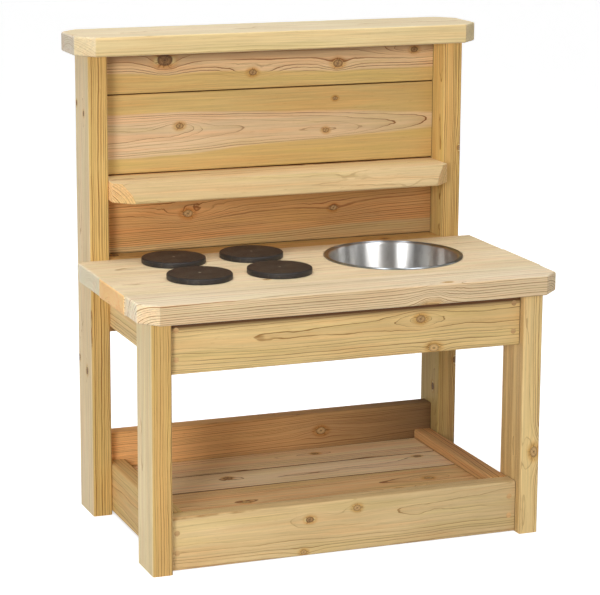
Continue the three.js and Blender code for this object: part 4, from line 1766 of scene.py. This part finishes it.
@dataclass
class Worktop:
    """Boards of the worktop, cut round for the bowl."""

    gap: float = 2 * MM
    clip: float = 40 * MM
    joint_ease: float = 0.7 * MM

    def boards(self) -> list[Board]:
        """List the boards.

        Returns:
            The boards in building order.
        """
        low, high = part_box("bowl")
        middle = (low + high) / 2
        bite = (middle.x, middle.y, (high.x - low.x) / 2 - Bowl.flange + self.gap)
        joint = self.joint_ease
        # the front board's top is paler than its brow edge: partly painted light from above
        front = Wood(srgb(233, 217, 188), srgb(231, 209, 172), 0.9, 0.9, (0.52, 0.38, 0.22),
                     (1.29, 1.32, 1.36), blush=0.25)
        brow = Wood(srgb(226, 201, 161), srgb(222, 190, 148), 1.0, 1.0, (0.42, 0.26, 0.13))
        middle_wood = Wood(srgb(235, 216, 182), srgb(232, 206, 166), 0.9, 0.9, (0.52, 0.38, 0.22),
                           (1.38, 1.1, 0.78), blush=0.25)
        rear = Wood(srgb(235, 216, 180), srgb(230, 203, 160), 0.9, 0.9, (0.52, 0.38, 0.22),
                    (1.22, 1.36, 1.6), blush=0.25)
        dusk = Wood(srgb(218, 182, 118), srgb(214, 170, 124), 0.8, 0.8)
        return [
            TopBoard("worktop_board_front", Run.FLAT, Sawn(
                front, (-60, -44), (10, 10), 6.0, 14, 1.9, seed=31, painted_light_edge_wood=brow, knots=(
                    Knot(168, 0, 13, 0.1, Face.EDGE, -36, bulge=22, spread=34),
                    Knot(214, -44, 5, 0.3, bulge=14, spread=40))),
                "softwood_pale", clip=(self.clip, 0.0), rear_ease=joint),
            TopBoard("worktop_board_middle", Run.FLAT, Sawn(
                middle_wood, (20, -60), (10, 10), 5.0, seed=32, knots=(
                    Knot(-150, -40, 4, 0.5, bulge=6), Knot(-120, 20, 3, 0.6, bulge=4))),
                "softwood_pale", front_ease=joint, rear_ease=joint, bite=bite),
            TopBoard("worktop_board_rear", Run.FLAT, Sawn(
                rear, (-10, -70), (10, 10), 5.0, seed=33),
                "softwood_pale", front_ease=joint, rear_ease=joint, bite=bite),
            Board("worktop_infill", Run.FLAT, Sawn(
                dusk, (0, -60), (10, 10), 4.6, seed=34, knots=(
                    Knot(275, -6.5, 5, 0.6), Knot(-388, 15.5, 8, 0.9))), "softwood_tan",
                arris=joint),
        ]


@dataclass
class Tray:
    """The low tray: boards on edge, cleats and slats."""

    # dark joints between the slats, with painted shade in them
    slat_seams: tuple[float, float] = (1.6, 3.2)
    cleat_arris: float = 2 * MM

    def boards(self) -> list[Board]:
        """List the boards.

        Returns:
            The boards in building order.
        """
        straw = Wood(srgb(223, 195, 144), srgb(220, 188, 134), 0.9, 0.9, (0.48, 0.34, 0.18), blush=0.3)
        umber = Wood(srgb(204, 160, 106), srgb(202, 156, 102), 0.8, 0.9, (0.46, 0.3, 0.17), blush=0.1,
                     patch=0.6)
        tan = Wood(srgb(226, 192, 132), srgb(219, 178, 125), 0.9, 0.9, (0.44, 0.28, 0.14))
        clay = Wood(srgb(214, 168, 114), srgb(208, 160, 108), 1.0, 1.0, (0.4, 0.25, 0.14))
        rose = Wood(srgb(238, 200, 145), srgb(232, 186, 132), 1.0, 1.0, (0.42, 0.25, 0.14), blush=0.5,
                    patch=0.6)
        ash = Wood(srgb(250, 225, 187), srgb(245, 214, 177), 1.0, 1.0, (0.4, 0.26, 0.15), blush=0.4,
                   patch=0.6)
        return [
            Board("tray_front", Run.PANEL, Sawn(
                straw, (20, -40), (10, 12), 5.2, line=1.8, seed=41, tone_and_shade_drift=-0.3, seams=(1.6, 0), knots=(
                    Knot(-89, 22.5, 6, 0.75, bulge=5, spread=40),
                    Knot(23, 37.5, 6, 0.3, bulge=3, spread=30),
                    Knot(-103, -50.5, 5, 0.3, bulge=5, spread=40))), "softwood_golden"),
            # its tone_and_shade_drift darkens it to the right: painted shade inside the tray
            Board("tray_back", Run.PANEL, Sawn(
                umber, (-95, -20), (14, 16), 4.6, heart_reach=200, seed=42, tone_and_shade_drift=-1.7, knots=(
                    Knot(123, 47.5, 8, 0.25, bulge=12, spread=70),)), "softwood_heart"),
            Board("tray_side_left", Run.RAIL, Sawn(tan, (-10, 60), (10, 10), 5.2, seed=43),
                  "softwood_tan"),
            Board("tray_side_right", Run.RAIL, Sawn(clay, (10, -60), (10, 10), 5.2, seed=44),
                  "softwood_tan"),
            Board("tray_cleat_left", Run.RAIL, Sawn(tan, (60, 10), (10, 10), 4.0, seed=45),
                  "softwood_tan", arris=self.cleat_arris),
            Board("tray_cleat_right", Run.RAIL, Sawn(tan, (-60, 10), (10, 10), 4.0, seed=46),
                  "softwood_tan", arris=self.cleat_arris),
            Board("tray_slat_1", Run.FLAT, Sawn(
                rose, (10, -50), (14, 10), 6.0, line=2.8, heart_reach=66, seed=47, seams=self.slat_seams,
                knots=(
                    Knot(-195, -18.5, 7, 0.2, bulge=12), Knot(168, -45.5, 7, 0.2, bulge=12),
                    Knot(262, 12, 7, 0.3, bulge=12))), "softwood_tan"),
            Board("tray_slat_2", Run.FLAT, Sawn(
                ash, (-10, -40), (14, 10), 6.0, line=2.8, heart_reach=60, seed=48, seams=self.slat_seams,
                knots=(
                    Knot(-173, 15.7, 7, 0.6), Knot(308, 30.5, 6, 0.7))), "softwood_brown"),
            Board("tray_slat_3", Run.FLAT, Sawn(
                ash, (10, -50), (14, 10), 6.0, line=2.8, heart_reach=60, seed=49, seams=self.slat_seams,
                knots=(
                    Knot(88, 11.8, 6, 0.5),)), "softwood_tan"),
        ]


# Studio


@dataclass(frozen=True)
class Viewpoint:
    """Where the photograph was taken from."""

    place: tuple[float, float, float] = (-1.9229, -4.952, 1.7055)
    azimuth: float = -21.066
    elevation: float = 12.566
    roll: float = 0.3165
    focal_share: float = 2402.06 / 600
    sensor: float = 36.0
    sight: float = 60.0

    def build(self) -> None:
        """Make the camera and set it."""
        turn = math.radians(self.azimuth)
        drop = math.radians(self.elevation)
        ahead = Vector((-math.sin(turn) * math.cos(drop), math.cos(turn) * math.cos(drop),
                        -math.sin(drop)))
        right = Vector((math.cos(turn), math.sin(turn), 0))
        up = right.cross(ahead)
        lean = math.radians(self.roll)
        rolled_right = right * math.cos(lean) + up * math.sin(lean)
        rolled_up = up * math.cos(lean) - right * math.sin(lean)
        lens = bpy.data.cameras.new("camera")
        lens.sensor_fit = "HORIZONTAL"
        lens.sensor_width = self.sensor
        lens.lens = self.focal_share * self.sensor
        lens.clip_end = self.sight
        camera = bpy.data.objects.new("camera", lens)
        basis = Matrix((rolled_right, rolled_up, -ahead)).transposed().to_4x4()
        camera.matrix_world = Matrix.Translation(Vector(self.place)) @ basis
        bpy.context.scene.collection.objects.link(camera)
        bpy.context.scene.camera = camera


@dataclass(frozen=True)
class Softbox:
    """A rectangular lamp that faces a point, and that steel may mirror."""

    name: str
    place: tuple[float, float, float]
    size: tuple[float, float]
    power: float
    aim: tuple[float, float, float] = (0.0, 0.0, 0.5)
    mirrored: bool = True

    def build(self) -> None:
        """Make the lamp."""
        lamp = bpy.data.lights.new(self.name, "AREA")
        lamp.shape = "RECTANGLE"
        lamp.size, lamp.size_y = self.size
        lamp.energy = self.power
        holder = bpy.data.objects.new(self.name, lamp)
        holder.location = self.place
        holder.visible_glossy = self.mirrored
        ahead = Vector(self.aim) - Vector(self.place)
        holder.rotation_euler = ahead.to_track_quat("-Z", "Y").to_euler()
        bpy.context.scene.collection.objects.link(holder)


@dataclass(frozen=True)
class Card:
    """A bright strip of the surroundings that steel mirrors: its bearing and half width in degrees."""

    bearing: float
    width: float
    light: float


@dataclass
class Studio:
    """White floor, white surroundings, strips that steel mirrors and soft lamps.

    The floor glows by the floor lift, and below the tray by the painted_shadow_lift, a painted shadow, for
    all but bounced light.
    """

    surround: float = 0.3
    cards: tuple[Card, ...] = (
        Card(-74, 12, 6.0), Card(-105, 17, 0.25), Card(-136, 12, 2.0), Card(-36, 6, 1.0), Card(-2, 8, 1.2),
        Card(-173, 8, 0.4), Card(147, 9, 1.6), Card(90, 32, 0.14),
    )
    card_dark: float = 0.02
    card_fade: float = 2.5
    paper: tuple[Colour, Colour] = ((0.6, 0.6, 0.6), (0.62, 0.62, 0.62))
    paper_scale: float = 3.0
    paper_roughness: float = 0.9
    floor_lift: float = 0.78
    # painted shadow: the floor's far lower glow below the tray, faded in at its edge
    painted_shadow_lift: float = 0.05
    painted_shadow_fade: float = 20 * MM
    floor_reach: float = 12.0
    lamps: tuple[Softbox, ...] = (
        Softbox("key", (-2.9, -3.8, 1.6), (1.2, 1.2), 108.0),
        Softbox("top", (-0.4, -0.4, 3.6), (3.0, 2.4), 69.0, mirrored=False),
        Softbox("fill", (2.6, -3.0, 1.6), (2.0, 2.0), 6.0),
        Softbox("rear", (1.8, 3.6, 1.9), (2.0, 2.0), 34.0, mirrored=False),
    )

    def build_world(self) -> None:
        """Make surroundings that look white and light the object softly.

        A mirrored ray sees the cards instead, with the dark value between them: a card is lit where the
        cosine of the angle from its bearing is above that of its half width, with a short fade.
        """
        world = bpy.data.worlds.new("surroundings")
        world.use_nodes = True
        world.node_tree.nodes.clear()
        graph = Graph(world.node_tree)
        path = graph.node("ShaderNodeLightPath")
        east, north, _ = graph.parts(graph.node("ShaderNodeTexCoord").outputs["Generated"])
        bearing = graph.math("ARCTAN2", north, east)
        cards: object = self.card_dark
        for card in self.cards:
            nearness = graph.math("COSINE", graph.math("SUBTRACT", bearing, math.radians(card.bearing)))
            outer = math.cos(math.radians(card.width + self.card_fade))
            inner = math.cos(math.radians(card.width - self.card_fade))
            lit = graph.span(nearness, outer, inner, self.card_dark, card.light)
            cards = graph.math("MAXIMUM", cards, lit)
        seen = graph.math(
            "ADD", path.outputs["Is Camera Ray"], path.outputs["Is Transmission Ray"], clamp=True)
        strength = graph.fused(seen, 1.0 - self.surround, self.surround)
        mirrored = graph.math("SUBTRACT", cards, strength)
        strength = graph.fused(path.outputs["Is Glossy Ray"], mirrored, strength)
        background = graph.node("ShaderNodeBackground", {"Strength": strength, "Color": (1.0, 1.0, 1.0)})
        output = graph.node("ShaderNodeOutputWorld")
        world.node_tree.links.new(background.outputs[0], output.inputs[0])
        bpy.context.scene.world = world

    def build_floor(self) -> None:
        """Make the floor, which is lifted to white but for a painted shadow below the tray."""
        reach = self.floor_reach
        corners = np.array([[-reach, -reach, 0], [reach, -reach, 0], [reach, reach, 0], [-reach, reach, 0]])
        mesh = bpy.data.meshes.new("floor")
        mesh.from_pydata(corners.tolist(), [], [(0, 1, 2, 3)])
        floor = bpy.data.objects.new("floor", mesh)
        bpy.context.scene.collection.objects.link(floor)
        material, graph, shader = new_material("floor paper")
        point = graph.node("ShaderNodeTexCoord").outputs["Object"]
        tooth = graph.noise(point, self.paper_scale)
        paper = graph.mix(tooth, *self.paper)
        # painted shadow: the glow drops below the tray's footprint
        low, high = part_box("tray_front")[0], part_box("tray_back")[1]
        x, y, _ = graph.parts(point)
        depth = graph.math("ABSOLUTE", graph.minus(y, (low.y + high.y) / 2))
        under = [graph.fading(away, half - self.painted_shadow_fade, half) for away, half in (
            (graph.math("ABSOLUTE", x), high.x), (depth, (high.y - low.y) / 2))]
        lift = graph.fused(graph.times(*under), self.painted_shadow_lift - self.floor_lift, self.floor_lift)
        path = graph.node("ShaderNodeLightPath")
        seen = graph.math("ADD", path.outputs["Is Camera Ray"], path.outputs["Is Glossy Ray"])
        seen = graph.math("ADD", seen, path.outputs["Is Transmission Ray"], clamp=True)
        graph.fill(shader, {
            "Base Color": paper, "Roughness": self.paper_roughness, "Emission Color": (1.0, 1.0, 1.0),
            "Emission Strength": graph.times(seen, lift)})
        mesh.materials.append(material)

    def build(self) -> None:
        """Make the floor, the surroundings and the lamps."""
        self.build_floor()
        self.build_world()
        for lamp in self.lamps:
            lamp.build()
        bpy.context.scene.view_settings.view_transform = "Standard"


def main() -> None:
    """Build the kitchen and its studio, in order."""
    logging.basicConfig(level=logging.INFO, format="%(name)s %(message)s")
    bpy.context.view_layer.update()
    Viewpoint().build()
    for assembly in (Carcass(), Back(), Worktop(), Tray()):
        for board in assembly.boards():
            board.build()
    for index, node in enumerate(name for name in frame["nodes"] if name.startswith("hob_disc")):
        HobDisc(node, FIRST_DISC_SEED + index).build()
    Bowl().build()
    Plugs().build()
    Studio().build()


if __name__ == "__main__":
    main()
